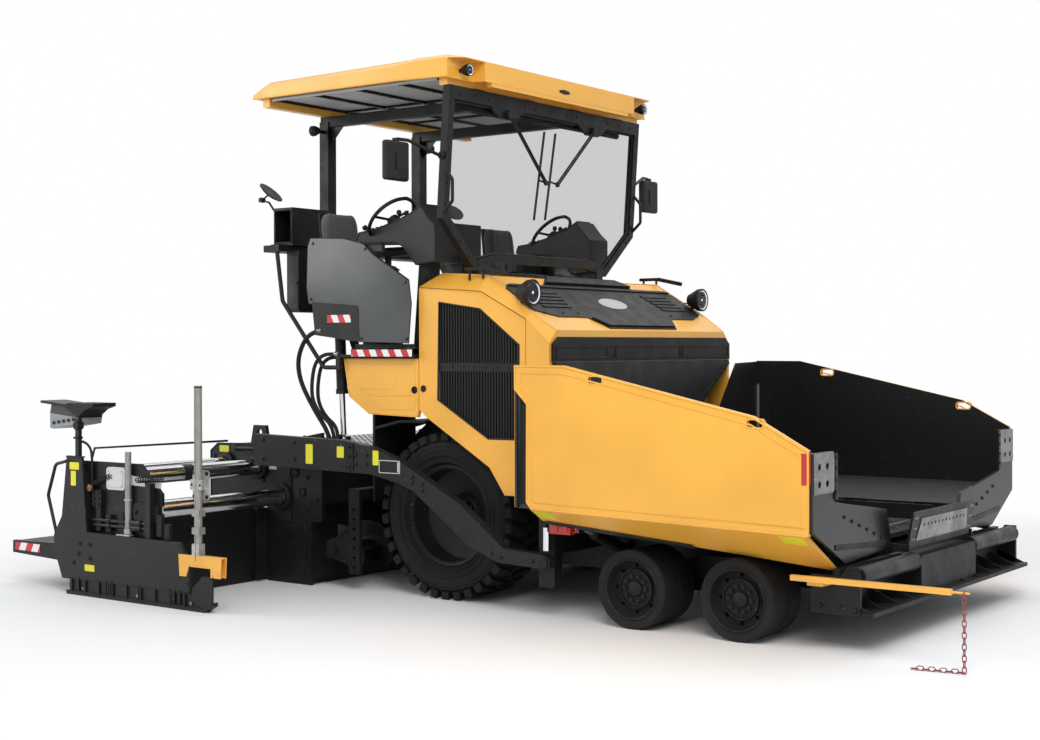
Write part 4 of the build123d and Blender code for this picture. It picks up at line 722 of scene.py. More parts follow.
area_light("key", (6.0, -7.5, 8.5), (0, 0, 1.2), (5, 5), 620)
area_light("side", (-8.5, -6.0, 4.5), (-0.5, 0, 1.2), (5, 4), 230)
area_light("top", (0.5, 3.0, 9.5), (0, 0, 1.0), (6, 6), 260)


# Hopper wings: pressed outline, slot rims, corner plate, red strip and bare label plates
WING_FACE = [(968, 1656), (1356, 1655), (2697, 1368), (3050, 1180), (3050, 700), (3030, 690), (1100, 734),
             (1060, 780), (1065, 1405), (968, 1500)]
SLOTS = ((1540, 1650, 1540, 1590), (2650, 2760, 1300, 1350))
for side in BOTH:
    body = "hopper_wing"
    ring = at_y(WING_Y, hull_of(WING_FACE, 52))
    line("wing_pressed_outline", ring, 5, YELLOW_PAINT, body, closed=True, side=side)
    ring = at_y(WING_Y, hull_of(WING_FACE, 8))
    line("wing_folded_edge", ring, 7, YELLOW_PAINT, body, closed=True, side=side)
    for number, (x0, x1, z0, z1) in enumerate(SLOTS):
        corners = [(x0, z0 + 12), (x0 + 12, z0), (x1 - 12, z0), (x1, z0 + 12), (x1, z1 - 12), (x1 - 12, z1),
                   (x0 + 12, z1), (x0, z1 - 12)]
        for depth, label in ((0, "outer"), (25, "inner")):
            line("slot_rim_%s_%d" % (label, number), at_y(WING_Y - depth, corners), 5, YELLOW_PAINT, body,
                 closed=True, side=side)
    # Light corner plate with its four holes, and the dark strip behind it
    pile = Pile(side)
    holes = [((3071, y, z), 20) for y in (1560, 1460) for z in (985, 1085)]
    pile.plate(at_x(3071, [(1625, 930), (1385, 930), (1370, 950), (1370, 1150), (1385, 1163),
                           (1625, 1163)]), (7, 0, 0), holes)
    pile.done("corner_plate", BRIGHT_STEEL, body, bevel=0.0015)
    pile.plate(at_x(3071, [(1360, 890), (1330, 880), (1330, 1150), (1360, 1160)]), (9, 0, 0))
    for z in (930, 1000, 1070, 1130):
        pile.bolt((3080, 1345, z), (1, 0, 0), 8, 6)
    pile.done("corner_strip", DARK_STEEL, body, bevel=0.001)
    pile.prism(at_x(3052, [(WING_Y - 24, 985), (WING_Y - 1, 985), (WING_Y - 1, 1170), (WING_Y - 24, 1170)]),
               (3, 0, 0))
    pile.prism(at_y(WING_Y, [(3000, 985), (3048, 985), (3048, 1165), (3000, 1165)]), (0, 1.2, 0))
    pile.done("edge_reflector", RED_PAINT, body, bevel=0.0008)
    # Bare label plates
    for x0, x1 in ((1112, 1235), (2850, 3000)):
        crease = [(x, CREASE_Z - CREASE_FALL * (x - CREASE_X)) for x in (x0, x1)]
        corners = [(x, WING_Y - along, z - SKIRT_SLOPE * along) for along in (8, 94) for x, z in crease]
        pile.prism([corners[0], corners[1], corners[3], corners[2]], (0, 0.8, -1.3))
    pile.done("bare_labels", LABEL, body, bevel=0.0004)
    # Bolted seam under the floor and wear strip along the lower edge
    for x in range(1180, 3000, 180):
        pile.bolt((x, WING_Y - 26, 1000 - 0.1 * x), (0, -1, 0), 9, 6)
    pile.done("inner_bolts", DARK_STEEL, body)
    low = [(x, 1500 - 0.12 * (x - CREASE_X), 640 - 0.095 * (x - CREASE_X)) for x in (1130, 2150)]
    pile.prism(low + [(x, y + 30, z + 20) for x, y, z in reversed(low)], (0, -3, -6))
    pile.done("lower_wear_strip", DARK_STEEL, body, bevel=0.001)
    # Front flap rubber: a row of bolts and a bar
    for y in range(700, 1330, 105):
        z = 560 + 0.32 * (y - 560)
        pile.bolt((3072, y, z), (1, 0, 0), 9, 7)
    pile.prism(at_x(3071, [(640, 545), (1350, 590), (1350, 622), (640, 577)]), (5, 0, 0))
    pile.done("flap_bar", DARK_STEEL, body, bevel=0.0012)

# Rubber strip behind the notch of each wing's rear edge
WING_IN = 1615
for side in BOTH:
    pile = Pile(side)
    pile.box(1000, 1085, WING_IN - 9, WING_IN - 1, 765, 1500)
    pile.done("wing_rear_strip", DARK_PLASTIC, "hopper_wing", 0.001)

# Hopper's rear wall: bolted strips along its slopes, down its edges and across the middle
pile = Pile()
WALL_X = 961
STRIP = 4
for side in BOTH:
    slope = [(side * 1185, 1640), (side * 1160, 1670), (side * 500, 1210), (side * 525, 1180)]
    pile.prism([(WALL_X, y, z) for y, z in slope], (STRIP, 0, 0))
    for i in range(9):
        share = (i + 0.5) / 9
        pile.bolt((WALL_X + STRIP, side * (1170 - 655 * share), 1652 - 455 * share), (1, 0, 0), 10, 2.4)
    pile.prism(at_x(WALL_X, [(side * 470, 600), (side * 505, 600), (side * 505, 1180), (side * 470, 1180)]),
               (STRIP, 0, 0))
    for i in range(6):
        pile.bolt((WALL_X + STRIP, side * 488, 640 + 100 * i), (1, 0, 0), 9, 2.4)
pile.prism(at_x(WALL_X, [(-425, 1000), (425, 1000), (425, 1040), (-425, 1040)]), (STRIP, 0, 0))
for i in range(9):
    pile.bolt((WALL_X + STRIP, -400 + 100 * i, 1020), (1, 0, 0), 9, 2.4)
pile.done("rear_wall_strips", DARK_STEEL, bevel=0.0015)

# Apron: centre patch with a row of holes, side bolts and the top roll
pile = Pile()


def on_apron(y, z, out):
    """A point on the apron's leaning front face."""
    return (3165 + (z - 514) * 40 / 224 + out, y, z)


lean = Vector((1, 0, -40 / 224)).normalized() * 6
patch = [(-420, 560), (420, 560), (380, 700), (-380, 700)]
pile.plate([on_apron(y, z, 1) for y, z in patch], lean, [(on_apron(y, 655, 1), 11)
                                                         for y in range(-330, 331, 60)])
for y in (-480, -450, 450, 480):
    for z in (570, 640, 705):
        pile.bolt(on_apron(y, z, 0), lean, 8, 6)
pile.done("apron_patch", WORN_STEEL, "apron", 0.001)
line("apron_top_roll", [(3198, -512, 738), (3198, 512, 738)], 8, DARK_STEEL, "apron")

# Conveyor: chains along both edges of each floor
pile = Pile()
for y in (-428, -10, 12, 430):
    x = 980
    while x < 2860:
        pile.box(x, x + 34, y - 6, y + 4, 588, 594)
        pile.box(x + 30, x + 46, y - 3, y + 1, 587, 593)
        x += 46
pile.done("conveyor_chains", WORN_STEEL)

# Push beam and rollers: end rings, bolts and the lower bumper's ribs
for side in BOTH:
    pile = Pile(side)
    for y in (490, 870, 1265):
        pile.turned((3180, y, 440), OUT, [(-9, 54.6), (-7, 56.2), (7, 56.2), (9, 54.6)], 40)
    pile.done("roller_rings", DARK_STEEL, "push_roller")
    pile.bolts(((2960, 400), (2960, 260), (3090, 260), (3180, 250)), 1315, 13, 9)
    pile.turned((3180, 1315, 440), OUT, [(0, 0), (0, 38), (6, 38), (9, 30), (9, 0)], 28)
    for y in (200, 430, 660, 890, 1120, 1290):
        pile.prism([(3082, y, 240), (3270, y, 240), (3082, y, 325)], (0, 10, 0))
    pile.done("push_beam_fittings", BLACK_PAINT, bevel=0.001)

# Bodywork: door and side panel trim, latches, hood seams, skin bolts and the red hook
DOOR = [(-190, 1330), (-119, 1276), (436, 949), (566, 765), (745, 765), (745, 1955), (360, 2150),
        (-190, 2190)]
GRILLE = [(-7, 2085), (354, 2032), (690, 1785), (690, 1147), (427, 1147), (-18, 1405)]
for side, name in SIDES:
    body = "side_door"
    face = 1215
    line("door_fold", at_y(face, hull_of(DOOR, 7)), 4, YELLOW_PAINT, body, closed=True, side=side)
    line("grille_frame", at_y(face - 2, GRILLE), 8, DARK_PLASTIC, body, closed=True, side=side)
    pile = Pile(side)
    pile.box(-12, 700, face - 4, face - 8, 1604, 1660)
    for x in range(10, 700, 98):
        pile.bolt((x, face - 3, 1632), OUT, 6, 4)
    pile.done("grille_bar", DARK_PLASTIC, body, bevel=0.001)
    for x, z in ((-150, 1480), (700, 1050)):
        pile.turned((x, face, z), OUT, [(0, 0), (0, 24), (4, 24), (6, 20), (3, 16), (3, 6), (5, 5), (5, 0)],
                    28)
    pile.done("door_latches", DARK_PLASTIC, body)
    x, z = -234, 1470
    pile.turned((x, face, z), OUT, [(0, 0), (0, 26), (5, 26), (7, 21), (3, 17), (3, 7), (6, 6), (6, 0)], 28)
    pile.box(x - 3, x + 3, face + 2, face + 6, z - 14, z + 14)
    pile.done("panel_latches", DARK_PLASTIC)
    # Black sill between the side panel and the deck's skirt
    pile.box(-900, -198, 1140, 1213, 1676, 1702)
    pile.done("deck_sill", BLACK_PAINT, bevel=0.001)
    # Side panel behind the door: pressed field with its lower step, folded edge and bare name plate
    field = [(-830, 1650), (-226, 1650), (-226, 1430), (-600, 1420), (-700, 1440), (-800, 1560)]
    pile.prism(at_y(face, field), (0, 3, 0))
    step = [(-640, 1405), (-226, 1412), (-226, 1330), (-560, 1322)]
    pile.prism(at_y(face, step), (0, 2.4, 0))
    pile.done("side_panel_pressing", YELLOW_PAINT, bevel=0.002)
    panel = [(-905, 1680), (-856, 1424), (-665, 1300), (-208, 1286), (-200, 1322), (-200, 1680)]
    line("side_panel_fold", at_y(face, panel), 4, YELLOW_PAINT, closed=True, side=side)
    plate = [(-770, 1470), (-770, 1590), (-440, 1590), (-400, 1530), (-440, 1470)]
    pile.prism(at_y(face + 3, plate), (0, 1.6, 0))
    pile.done("bare_name_plate", YELLOW_PAINT, bevel=0.0008)
    # Seam lines of the hood along the shoulder
    edge = [(-186, 970, 2302), (340, 1100, 2270), (751, 1165, 2008), (938, 1130, 1888)]
    line("hood_shoulder_seam", edge, 3, YELLOW_PAINT, side=side)
    for i in range(6):
        pile.bolt((845, 1214, 860 + 150 * i), OUT, 8, 5)
    pile.done("side_skin_bolts", YELLOW_PAINT)
    # Red hook and its handle near the tow point
    line("red_hook", at_y(1430, [(1190, 640), (1190, 600), (1300, 590), (1330, 615), (1300, 640)]), 11,
         RED_PAINT, side=side)

# Hood: joint lines across, vent louvres and the front panel's grooves
pile = Pile()
for x, half, z in ((-160, 985, 2299), (345, 1095, 2266)):
    pile.box(x - 3, x + 3, -half, half, z - 1, z + 2)
pile.done("hood_cross_seams", YELLOW_PAINT)


def on_hood(x, y, out):
    """A point on the sloping hood, in mm above its skin."""
    length = hypot(0.6375, 1)
    return (x + 0.6375 / length * out, y, 2268 - 0.6375 * (x - 340) + out / length)


slope_normal = Vector((0.5376, 0, 0.8432))
pile = Pile()
for side in BOTH:
    # Louvred openings on both wings of the cover
    for row in range(5):
        x = 515 + row * 40
        y0 = side * (560 + row * 12)
        y1 = y0 + side * 340
        pile.prism([on_hood(x, y0, 8), on_hood(x, y1, 8), on_hood(x + 26, y1 + side * 8, 8),
                    on_hood(x + 26, y0 + side * 8, 8)], slope_normal * 7)
    for y in (620, 800, 1020):
        pile.bolt(on_hood(760, side * y, 8), slope_normal, 9, 6)
pile.done("hood_louvres", DARK_PLASTIC, bevel=0.001)
pile = Pile()
for y0, y1 in ((-1165, -470), (-440, 440), (470, 1165)):
    pile.box(960, 966, y0, y1, 1690, 1696)
    pile.box(960, 966, y0, y1, 1770, 1776)
    pile.box(960, 965, y0, y0 + 6, 1690, 1776)
    pile.box(960, 965, y1 - 6, y1, 1690, 1776)
pile.prism(at_x(960, [(-560, 1712), (-470, 1712), (-470, 1760), (-560, 1760)]), (5, 0, 0))
pile.done("front_panel_ribs", DARK_PLASTIC, bevel=0.0012)
# Bare oval badge place in the cover's middle
pile = Pile()
oval = [on_hood(640 + 62 * b, 170 * a, 8) for a, b in around(28)]
pile.prism(oval, slope_normal * 6)
pile.done("bare_badge_place", PALE_PLASTIC, bevel=0.002)

# Lamps: chromed bowl, lens with ribs and a rubber ring
LENS = clear("lamp_lens", (0.97, 0.98, 1.0), 0.03)
BOWL = glossy("lamp_bowl_mirror", (0.85, 0.86, 0.88), 0.08)


def lamp(name, place, radius):
    """A lamp that looks ahead: bowl with bulb, ribbed lens and ring; profiles are shares of the radius."""
    x, y, z = place
    pile = Pile()

    def turned(profile, segments=36):
        pile.turned(place, (1, 0, 0), [(along * radius, out * radius) for along, out in profile], segments)

    turned([(-0.3, 0), (-0.3, 0.2), (-0.1, 0.6), (0.02, 0.88)])
    turned([(-0.25, 0), (-0.25, 0.14), (-0.02, 0.12), (0, 0)], 20)
    pile.done(name + "_bowl", BOWL, "tractor")
    turned([(0.02, 0), (0.05, 0.5), (0.02, 0.86), (-0.01, 0.86), (0.02, 0.5), (0, 0)])
    for i in range(-3, 4):
        across = 0.22 * radius * i
        half = (0.8 * radius ** 2 - across * across) ** 0.5 * 0.9
        pile.box(x + 0.02 * radius, x + 0.05 * radius, y + across - 1, y + across + 1, z - half, z + half)
    pile.done(name + "_lens", LENS, "tractor")
    turned([(-0.05, 0.86), (0.06, 0.87), (0.08, 0.94), (0.04, 1.0), (-0.08, 1.0), (-0.05, 0.86)])
    pile.done(name + "_ring", DARK_PLASTIC)


for side, name in SIDES:
    lamp("headlamp_" + name, (748, side * 1130, 2140), 90)
    lamp("roof_lamp_" + name, (209, side * 1130, 3700), 42)
    pile = Pile()
    # Bolts on the headlamp's bracket
    for z in (2080, 2100):
        pile.bolt((672, side * 1145, z), (0, side, 0), 8, 6)
    pile.done("headlamp_bolts_" + name, DARK_STEEL)
    line("headlamp_lead_" + name, [(640, side * 1130, 2120), (610, side * 1120, 2108),
                                   (600, side * 1100, 2120)], 5, DARK_PLASTIC, smooth=True)

# Roof: seams, edge fold, the front badge place and the ceiling's bars
for side in BOTH:
    seam = [(-1690, 1192, 3788), (-320, 1192, 3806), (60, 1192, 3810), (213, 1181, 3777)]
    line("roof_shoulder_seam", seam, 4, YELLOW_PAINT, side=side)
    lower = [(-1825, 1236, 3673), (-1690, 1270, 3667), (-320, 1275, 3662), (112, 1273, 3650)]
    line("roof_lower_fold", lower, 7, YELLOW_PAINT, side=side)
    line("roof_notch_edge", at_x(122, [(1268, 3642), (975, 3642), (972, 3772)]), 5, YELLOW_PAINT, side=side)
pile = Pile()
for x, z in ((-1300, 3797), (-800, 3803), (-280, 3813)):
    pile.box(x - 4, x + 4, -1185, 1185, z - 3, z + 2)
pile.done("roof_cross_seams", YELLOW_PAINT)
pile = Pile()
pile.prism([(213, 70 * a, 3690 + 16 * b) for a, b in around(28)], (6, 0, 0))
pile.done("bare_front_badge_place", DARK_PLASTIC, bevel=0.0015)
pile = Pile()
for x in (-1655, -1250, -830, -410, 0):
    pile.box(x - 14, x + 14, -1178, 1178, 3650, 3668)
for y in (-1165, -390, 390, 1165):
    pile.box(-1660, 5, y - 14, y + 14, 3652, 3668)
for x in (-1655, -1250, -830, -410, 0):
    for y in (-1165, -780, -390, 0, 390, 780, 1165):
        pile.bolt((x, y, 3650), (0, 0, -1), 7, 5)
pile.done("ceiling_bars", DARK_PLASTIC, bevel=0.0015)
pile = Pile()
for side in BOTH:
    pile.box(-1640, -20, side * 1205, side * 1222, 3640, 3660)
pile.done("ceiling_side_ducts", PALE_PLASTIC, bevel=0.003)

# Canopy frame: gasket round the pane, bolts, gussets and the rear posts' base plates
SCREEN = [(-602, 2448), (-829, 2398), (-1162, 2697), (-1162, 3504), (1162, 3504), (1162, 2697), (829, 2398),
          (602, 2448)]


def on_screen(y, z, shift):
    return (10 + 0.0694 * (z - 2697) + shift, y, z)


for place, shift in (("front", 7), ("rear", -7)):
    line("pane_gasket_" + place, [on_screen(y, z, shift) for y, z in hull_of(SCREEN, 6)], 9, DARK_PLASTIC,
         closed=True)
pile = Pile()
for side in BOTH:
    for z in (2760, 2920, 3160, 3320, 3480):
        pile.bolt(on_screen(side * 1192, z, 30), (1, 0, 0), 9, 6)
    for y in (200, 330, 770, 930, 1090):
        pile.bolt(on_screen(side * y, 3552, 30), (1, 0, 0), 9, 6)
    for y, z in ((700, 2388), (905, 2425), (1010, 2520), (1130, 2625)):
        pile.bolt(on_screen(side * y, z, 30), (1, 0, 0), 9, 6)
    for x in (-30, 0):
        pile.bolt((x, side * 760, 2402), (0, 0, 1), 8, 6)
    # Base plate of the rear post
    pile.box(-1762, -1638, side * 490, side * 622, 2553, 2565)
    for x in (-1752, -1648):
        for y in (500, 612):
            pile.bolt((x, side * y, 2565), (0, 0, 1), 9, 7)
    # Gusset at the rear post's top
    pile.prism(at_y(side * 560, [(-1655, 3520), (-1520, 3520), (-1655, 3380)]), (0, side * 10, 0))
pile.done("canopy_bolts", DARK_STEEL)
# Sun visor roll behind the pane's top and the pads that the roof rests on
pile = Pile()
for y in (-900, -300, 300, 900):
    pile.box(40, 110, y - 60, y + 60, 3592, 3602)
pile.turned((-10, 0, 3490), (0, 1, 0), [(-1050, 0), (-1050, 26), (1050, 26), (1050, 0)], 20)
pile.done("visor_roll", DARK_PLASTIC, "tractor", 0.002)

# Mirrors: glass, clamps and the round mirror at the rear
MIRROR_GLASS = glossy("mirror_glass", (0.8, 0.82, 0.84), 0.03)
for side in BOTH:
    pile = Pile(side)
    y, z = 1611, 3040
    pile.prism(at_x(-87, [(y - 100, z - 118), (y + 100, z - 118), (y + 100, z + 118), (y - 100, z + 118)]),
               (-1.5, 0, 0))
    pile.done("mirror_glass", MIRROR_GLASS, "tractor", 0.0006)
    pile.turned((-56, y, 3180), (0, 0, 1), [(-14, 20), (-14, 24), (14, 24), (14, 20)], 24)
    pile.turned((30, 1226, 3110), OUT, [(0, 0), (0, 30), (6, 30), (10, 18), (22, 16), (22, 0)], 24)
    pile.box(-30, -20, y - 30, y + 30, z - 60, z + 60)
    pile.done("mirror_clamps", DARK_PLASTIC, bevel=0.001)
    # Round mirror on a bent arm over the storage box
    line("round_mirror_arm", at_y(1100, [(-1660, 2815), (-1751, 2830), (-1800, 2890), (-1878, 2914),
                                         (-1783, 2964)]), 9, DARK_STEEL, "tractor",
         side=side)
    pile.turned((-1783, 1100, 2964), (0.64, -0.2, 0.74), [(-14, 0), (-14, 70), (0, 104), (8, 104), (8, 96),
                                                          (6, 0)], 40)
    pile.turned((-1878, 1100, 2914), OUT, [(-20, 0), (-20, 20), (20, 20), (20, 0)], 20)
    pile.done("round_mirror", DARK_PLASTIC)

# Platform: striped skirt and shield, cabinet door, ribs and the storage box's rim
for side in BOTH:
    pile = Pile(side)
    y = 1275
    pile.prism(at_y(y, [(-780, 1706), (-205, 1706), (-205, 1756), (-780, 1756)]), (0, 1.6, 0))
    pile.done("skirt_stripes", STRIPES_X, bevel=0.0006)
    pile.prism(at_y(1281, [(-1015, 1953), (-782, 1953), (-782, 2009), (-1015, 2009)]), (0, 1.2, 0))
    pile.done("shield_stripes", STRIPES_X, "station", bevel=0.0006)
    # Cabinet door with a latch, box ribs and its rim
    pile.box(-1555, -1435, 1150, 1156, 2060, 2470)
    pile.bolt((-1450, 1156, 2265), OUT, 12, 8)
    for x in (-1690, -1600, -1510):
        pile.box(x - 6, x + 6, 758, 765, 2560, 2830)
    for z in (2120, 2230, 2340, 2440):
        pile.box(-1566, -1560, 830, 1120, z - 6, z + 6)
    pile.done("platform_fittings", DARK_STEEL, "tractor", 0.001)
    line("box_rim", at_y(1150, [(-1688, 2570), (-1512, 2570), (-1512, 2818), (-1688, 2818)]), 7, DARK_STEEL,
         "tractor", closed=True, side=side)
# Tread plate on the deck
pile = Pile()
for x in range(-900, -260, 40):
    for y in range(-680, 690, 40):
        sign = 1 if ((x + y) // 40) % 2 else -1
        pile.prism([(x - 12, y - sign * 4, 1720), (x - 10, y - sign * 7, 1720),
                    (x + 12, y + sign * 4, 1720), (x + 10, y + sign * 7, 1720)], (0, 0, 1.6))
pile.done("deck_tread", BLACK_PAINT)

# Seats: sewn cushions blown up by a short cloth run, then crowned


def seat_material():
    """Woven seat cover with a fine diagonal weave crossed by finer bands."""
    s = Shader("seat_cover_woven")
    weave = s.node("ShaderNodeTexWave", wave_type="BANDS", bands_direction="DIAGONAL")
    s.link(s.place, weave.inputs["Vector"])
    weave.inputs["Scale"].default_value = 130
    weave.inputs["Distortion"].default_value = 1.5
    cross = s.node("ShaderNodeTexWave", wave_type="BANDS", bands_direction="Y")
    s.link(s.place, cross.inputs["Vector"])
    cross.inputs["Scale"].default_value = 210
    threads = s.times(weave.outputs["Fac"], cross.outputs["Fac"])
    base = s.mix(threads, (0.042, 0.043, 0.046), (0.092, 0.094, 0.099))
    s.bump(threads, 0.35, 0.001)
    return s.set(Base_Color=base, Roughness=0.88, Sheen_Weight=0.25, Sheen_Roughness=0.5)


SEAT_FABRIC = seat_material()


def cushion(name, low, high, lean, swell, body):
    """A padded block between two corners in mm, leaned back about Y, swollen by cloth pressure."""
    mesh = bpy.data.meshes.new(name)
    bm = bmesh.new()
    bmesh.ops.create_cube(bm, size=1)
    size = Vector(high) - Vector(low)
    middle = (Vector(high) + Vector(low)) / 2
    for v in bm.verts:
        v.co = Vector((v.co.x * size.x, v.co.y * size.y, v.co.z * size.z)) / 1000
    bmesh.ops.bevel(bm, geom=bm.edges[:], offset=0.022, segments=3, affect="EDGES", profile=0.6)
    bm.to_mesh(mesh)
    bm.free()
    thing = linked(name, mesh)
    remesh = thing.modifiers.new("grain", "REMESH")
    remesh.mode = "VOXEL"
    remesh.voxel_size = 0.012
    depsgraph = bpy.context.evaluated_depsgraph_get()
    solid = bpy.data.meshes.new_from_object(thing.evaluated_get(depsgraph))
    thing.modifiers.clear()
    thing.data = solid
    start = [v.co.copy() for v in solid.vertices]
    cloth = thing.modifiers.new("pad", "CLOTH")
    cloth.settings.use_pressure = True
    cloth.settings.uniform_pressure_force = 4
    cloth.settings.effector_weights.gravity = 0
    cloth.settings.tension_stiffness = 12
    cloth.settings.compression_stiffness = 12
    cloth.point_cache.frame_start = 1
    cloth.point_cache.frame_end = 16
    for step in range(1, 15):
        bpy.context.scene.frame_set(step)
    depsgraph = bpy.context.evaluated_depsgraph_get()
    blown = bpy.data.meshes.new_from_object(thing.evaluated_get(depsgraph))
    thing.modifiers.clear()
    thing.data = blown
    bpy.context.scene.frame_set(1)
    for v, rest in zip(blown.vertices, start):
        move = v.co - rest
        if move.length > swell / 1000:
            v.co = rest + move.normalized() * swell / 1000
    # Sewn channels: two lengthwise seams and one across, pressed in with a soft shoulder
    for v in thing.data.vertices:
        thin = 2 if size.z < size.x else 0
        wide, long = (1, 0) if thin == 2 else (1, 2)
        across = abs(v.co[wide]) * 1000 - size[wide] * 0.27
        down = v.co[long] * 1000 + size[long] * 0.16
        dent = max(0.0, 1 - abs(across) / 13) + 0.8 * max(0.0, 1 - abs(down) / 13)
        sign = 1 if v.co[thin] > 0 else -1
        v.co[thin] -= sign * min(1.0, dent) * 0.007
        if thin == 0:
            rise = max(0.0, (v.co.z - size.z / 2000 + 0.12) / 0.14)
            v.co.y *= max(0.45, 1 - 0.42 * rise * rise)
            v.co.x += 0.012 * (abs(v.co.y) / (size.y / 2000)) ** 2
    tilt = Matrix.Rotation(radians(lean), 4, "Y")
    place = P(*middle)
    thing.data.transform(Matrix.Translation(place) @ tilt)
    thing.data.materials.clear()
    thing.data.materials.append(SEAT_FABRIC)
    thing.data.shade_smooth()
    fine = thing.modifiers.new("fine", "SUBSURF")
    fine.levels = 1
    fine.render_levels = 1
    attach(thing, body)
    return thing


for side, name in SIDES:
    body = "station_" + name
    y = side * 980
    seat = cushion("seat_cushion_" + name, (-1160, y - 215, 2282), (-740, y + 215, 2378), 3, 14, body)
    cushion("seat_back_" + name, (-1212, y - 180, 2362), (-1130, y + 180, 2785), -7, 13, body)
    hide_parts("seat_" + name)
    # Moulded pan and back shell, piping, and the bellows under the pan
    pile = Pile()
    shell = [(-1178, 2262), (-735, 2262), (-725, 2285), (-1172, 2285)]
    pile.prism(at_y(y - 222, shell), (0, 444, 0))
    back_shell = [(-1198, 2300), (-1182, 2300), (-1232, 2780), (-1246, 2780)]
    pile.prism(at_y(y - 160, back_shell), (0, 320, 0))
    pile.done("seat_shell_" + name, DARK_PLASTIC, body, 0.008)
    rings = [(0, 150), (8, 168), (16, 150), (24, 168), (32, 150)]
    pile.turned((-930, y, 2226), (0, 0, 1), [(0, 0)] + rings + [(33, 0)], 28)
    pile.done("seat_bellows_" + name, PIPING, body)
    line("seat_piping_" + name, [(-1165, y - 216, 2372), (-760, y - 216, 2352), (-742, y - 190, 2352),
                                 (-742, y + 190, 2352), (-760, y + 216, 2352), (-1165, y + 216, 2372)], 4,
         PIPING, body, smooth=True)
    line("seat_belt_" + name, [(-1150, y - 226, 2300), (-1080, y - 205, 2398), (-960, y - 60, 2404),
                               (-900, y + 90, 2400)], 7, PIPING, body, smooth=True)

# Operator's console: switches, display, levers, armrest pads, steering wheel, pod and side shield
SCREEN_GLASS = glossy("display_glass", (0.02, 0.024, 0.03), 0.08, 0.0)
for side, name in SIDES:
    body = "station_" + name
    y = side * 975
    pile = Pile()
    for i in range(4):
        for j in range(3):
            x, z = -800 + 46 * i, 2644 + 6.5 * i
            pile.box(x, x + 26, y - 70 + 50 * j, y - 46 + 50 * j, z - 2, z + 7)
    pile.turned((-470, y + 60, 2712), (0, 0, 1), [(-14, 0), (-14, 24), (10, 22), (14, 16), (14, 0)], 24)
    pile.done("console_switches_" + name, DARK_PLASTIC, body, 0.0012)
    panel = [(-372, 2742), (-280, 2794), (-286, 2804), (-378, 2752)]
    pile.prism(at_y(y - 95, panel), (0, 190, 0))
    pile.done("display_bezel_" + name, DARK_PLASTIC, body, 0.003)
    panel = [(-366, 2756), (-292, 2798), (-294, 2801), (-368, 2759)]
    pile.prism(at_y(y - 80, panel), (0, 160, 0))
    pile.done("display_glass_" + name, SCREEN_GLASS, body, 0.0008)
    for lever_y in (-40, 40):
        pile.turned((-560, y + lever_y, 2690), (0.15, 0, 1),
                    [(0, 0), (0, 7), (48, 6), (52, 17), (70, 19), (84, 12), (86, 0)], 18)
        pile.turned((-560, y + lever_y, 2688), (0.15, 0, 1),
                    [(0, 0), (0, 22), (8, 20), (16, 12), (22, 9), (22, 0)], 20)
    pile.done("console_levers_" + name, DARK_PLASTIC, body)
    for edge in (-262, 262):
        pad = [(-955, 2505), (-505, 2505), (-520, 2528), (-940, 2528)]
        pile.prism([(x, side * 980 + edge - 24, z) for x, z in pad], (0, 48, 0))
    pile.done("armrest_pads_" + name, PIPING, body, bevel=0.008)
    # Steering wheel, leaned 45 degrees: hub, knob, rim, spokes and column
    hub = Vector((-0.7071, 0, 0.7071))
    centre = Vector((-632, side * 1000, 2717))
    up = Vector((0.7071, 0, 0.7071))
    across = Vector((0, 1, 0))
    pile.turned(tuple(centre - hub * 30), hub, [(-40, 0), (-40, 30), (0, 52), (22, 46), (30, 30), (30, 0)],
                28)
    pile.turned(tuple(centre - up * 150 + across * 135 * side + hub * 12), hub,
                [(0, 0), (0, 9), (22, 9), (30, 20), (48, 20), (54, 10), (54, 0)], 20)
    pile.done("wheel_hub_and_knob_" + name, DARK_PLASTIC, body)
    rim = [centre + (up * a + across * b) * 196 for a, b in around(20)]
    line("wheel_rim_" + name, rim, 14, DARK_PLASTIC, body, closed=True, smooth=True)
    for number, turn in enumerate((pi / 2, -pi / 2, pi)):
        foot = centre - hub * 22
        tip = centre + (up * cos(turn) + across * sin(turn)) * 194
        line("wheel_spoke_%d_%s" % (number, name), [tuple(foot), tuple(tip)], 10, DARK_PLASTIC, body)
    line("wheel_column_" + name, [tuple(centre - hub * 60), tuple(centre - hub * 190)], 34, DARK_PLASTIC,
         body)
    # Seams of the pod
    pod = [(-895, 2560), (-835, 2535), (-512, 2525), (-450, 2500), (-321, 2361), (-134, 2380), (-134, 2640),
           (-200, 2700), (-275, 2792), (-369, 2740), (-480, 2700), (-700, 2640), (-870, 2620)]
    for edge in (850, 1100):
        line("pod_seam_%d_%s" % (edge, name), [(x, side * edge, z) for x, z in hull_of(pod, 6)], 5,
             GREY_PLASTIC, body, closed=True)
    # Frame, edge and bolts of the side shield
    shield = [(-1186, 2580), (-850, 2564), (-658, 2516), (-571, 2439), (-231, 2242), (-207, 2083),
              (-232, 1800), (-704, 1811), (-728, 2055), (-1207, 2097), (-1227, 2219), (-1215, 2520)]
    for x, z in ((-1160, 2540), (-640, 2480), (-260, 2230), (-250, 1830), (-680, 1835), (-1180, 2130)):
        pile.bolt((x, side * 1279, z), (0, side, 0), 9, 6)
    pile.done("shield_bolts_" + name, DARK_STEEL, body)
    line("shield_edge_" + name, [(x, side * 1276, z) for x, z in hull_of(shield, 1)], 4, DARK_PLASTIC, body,
         closed=True)
    line("shield_frame_" + name, at_y(side * 1262, [(-620, 2490), (-560, 2425), (-250, 2245), (-228, 2080),
                                                    (-250, 1830), (-300, 1812)]), 10, DARK_STEEL, body)

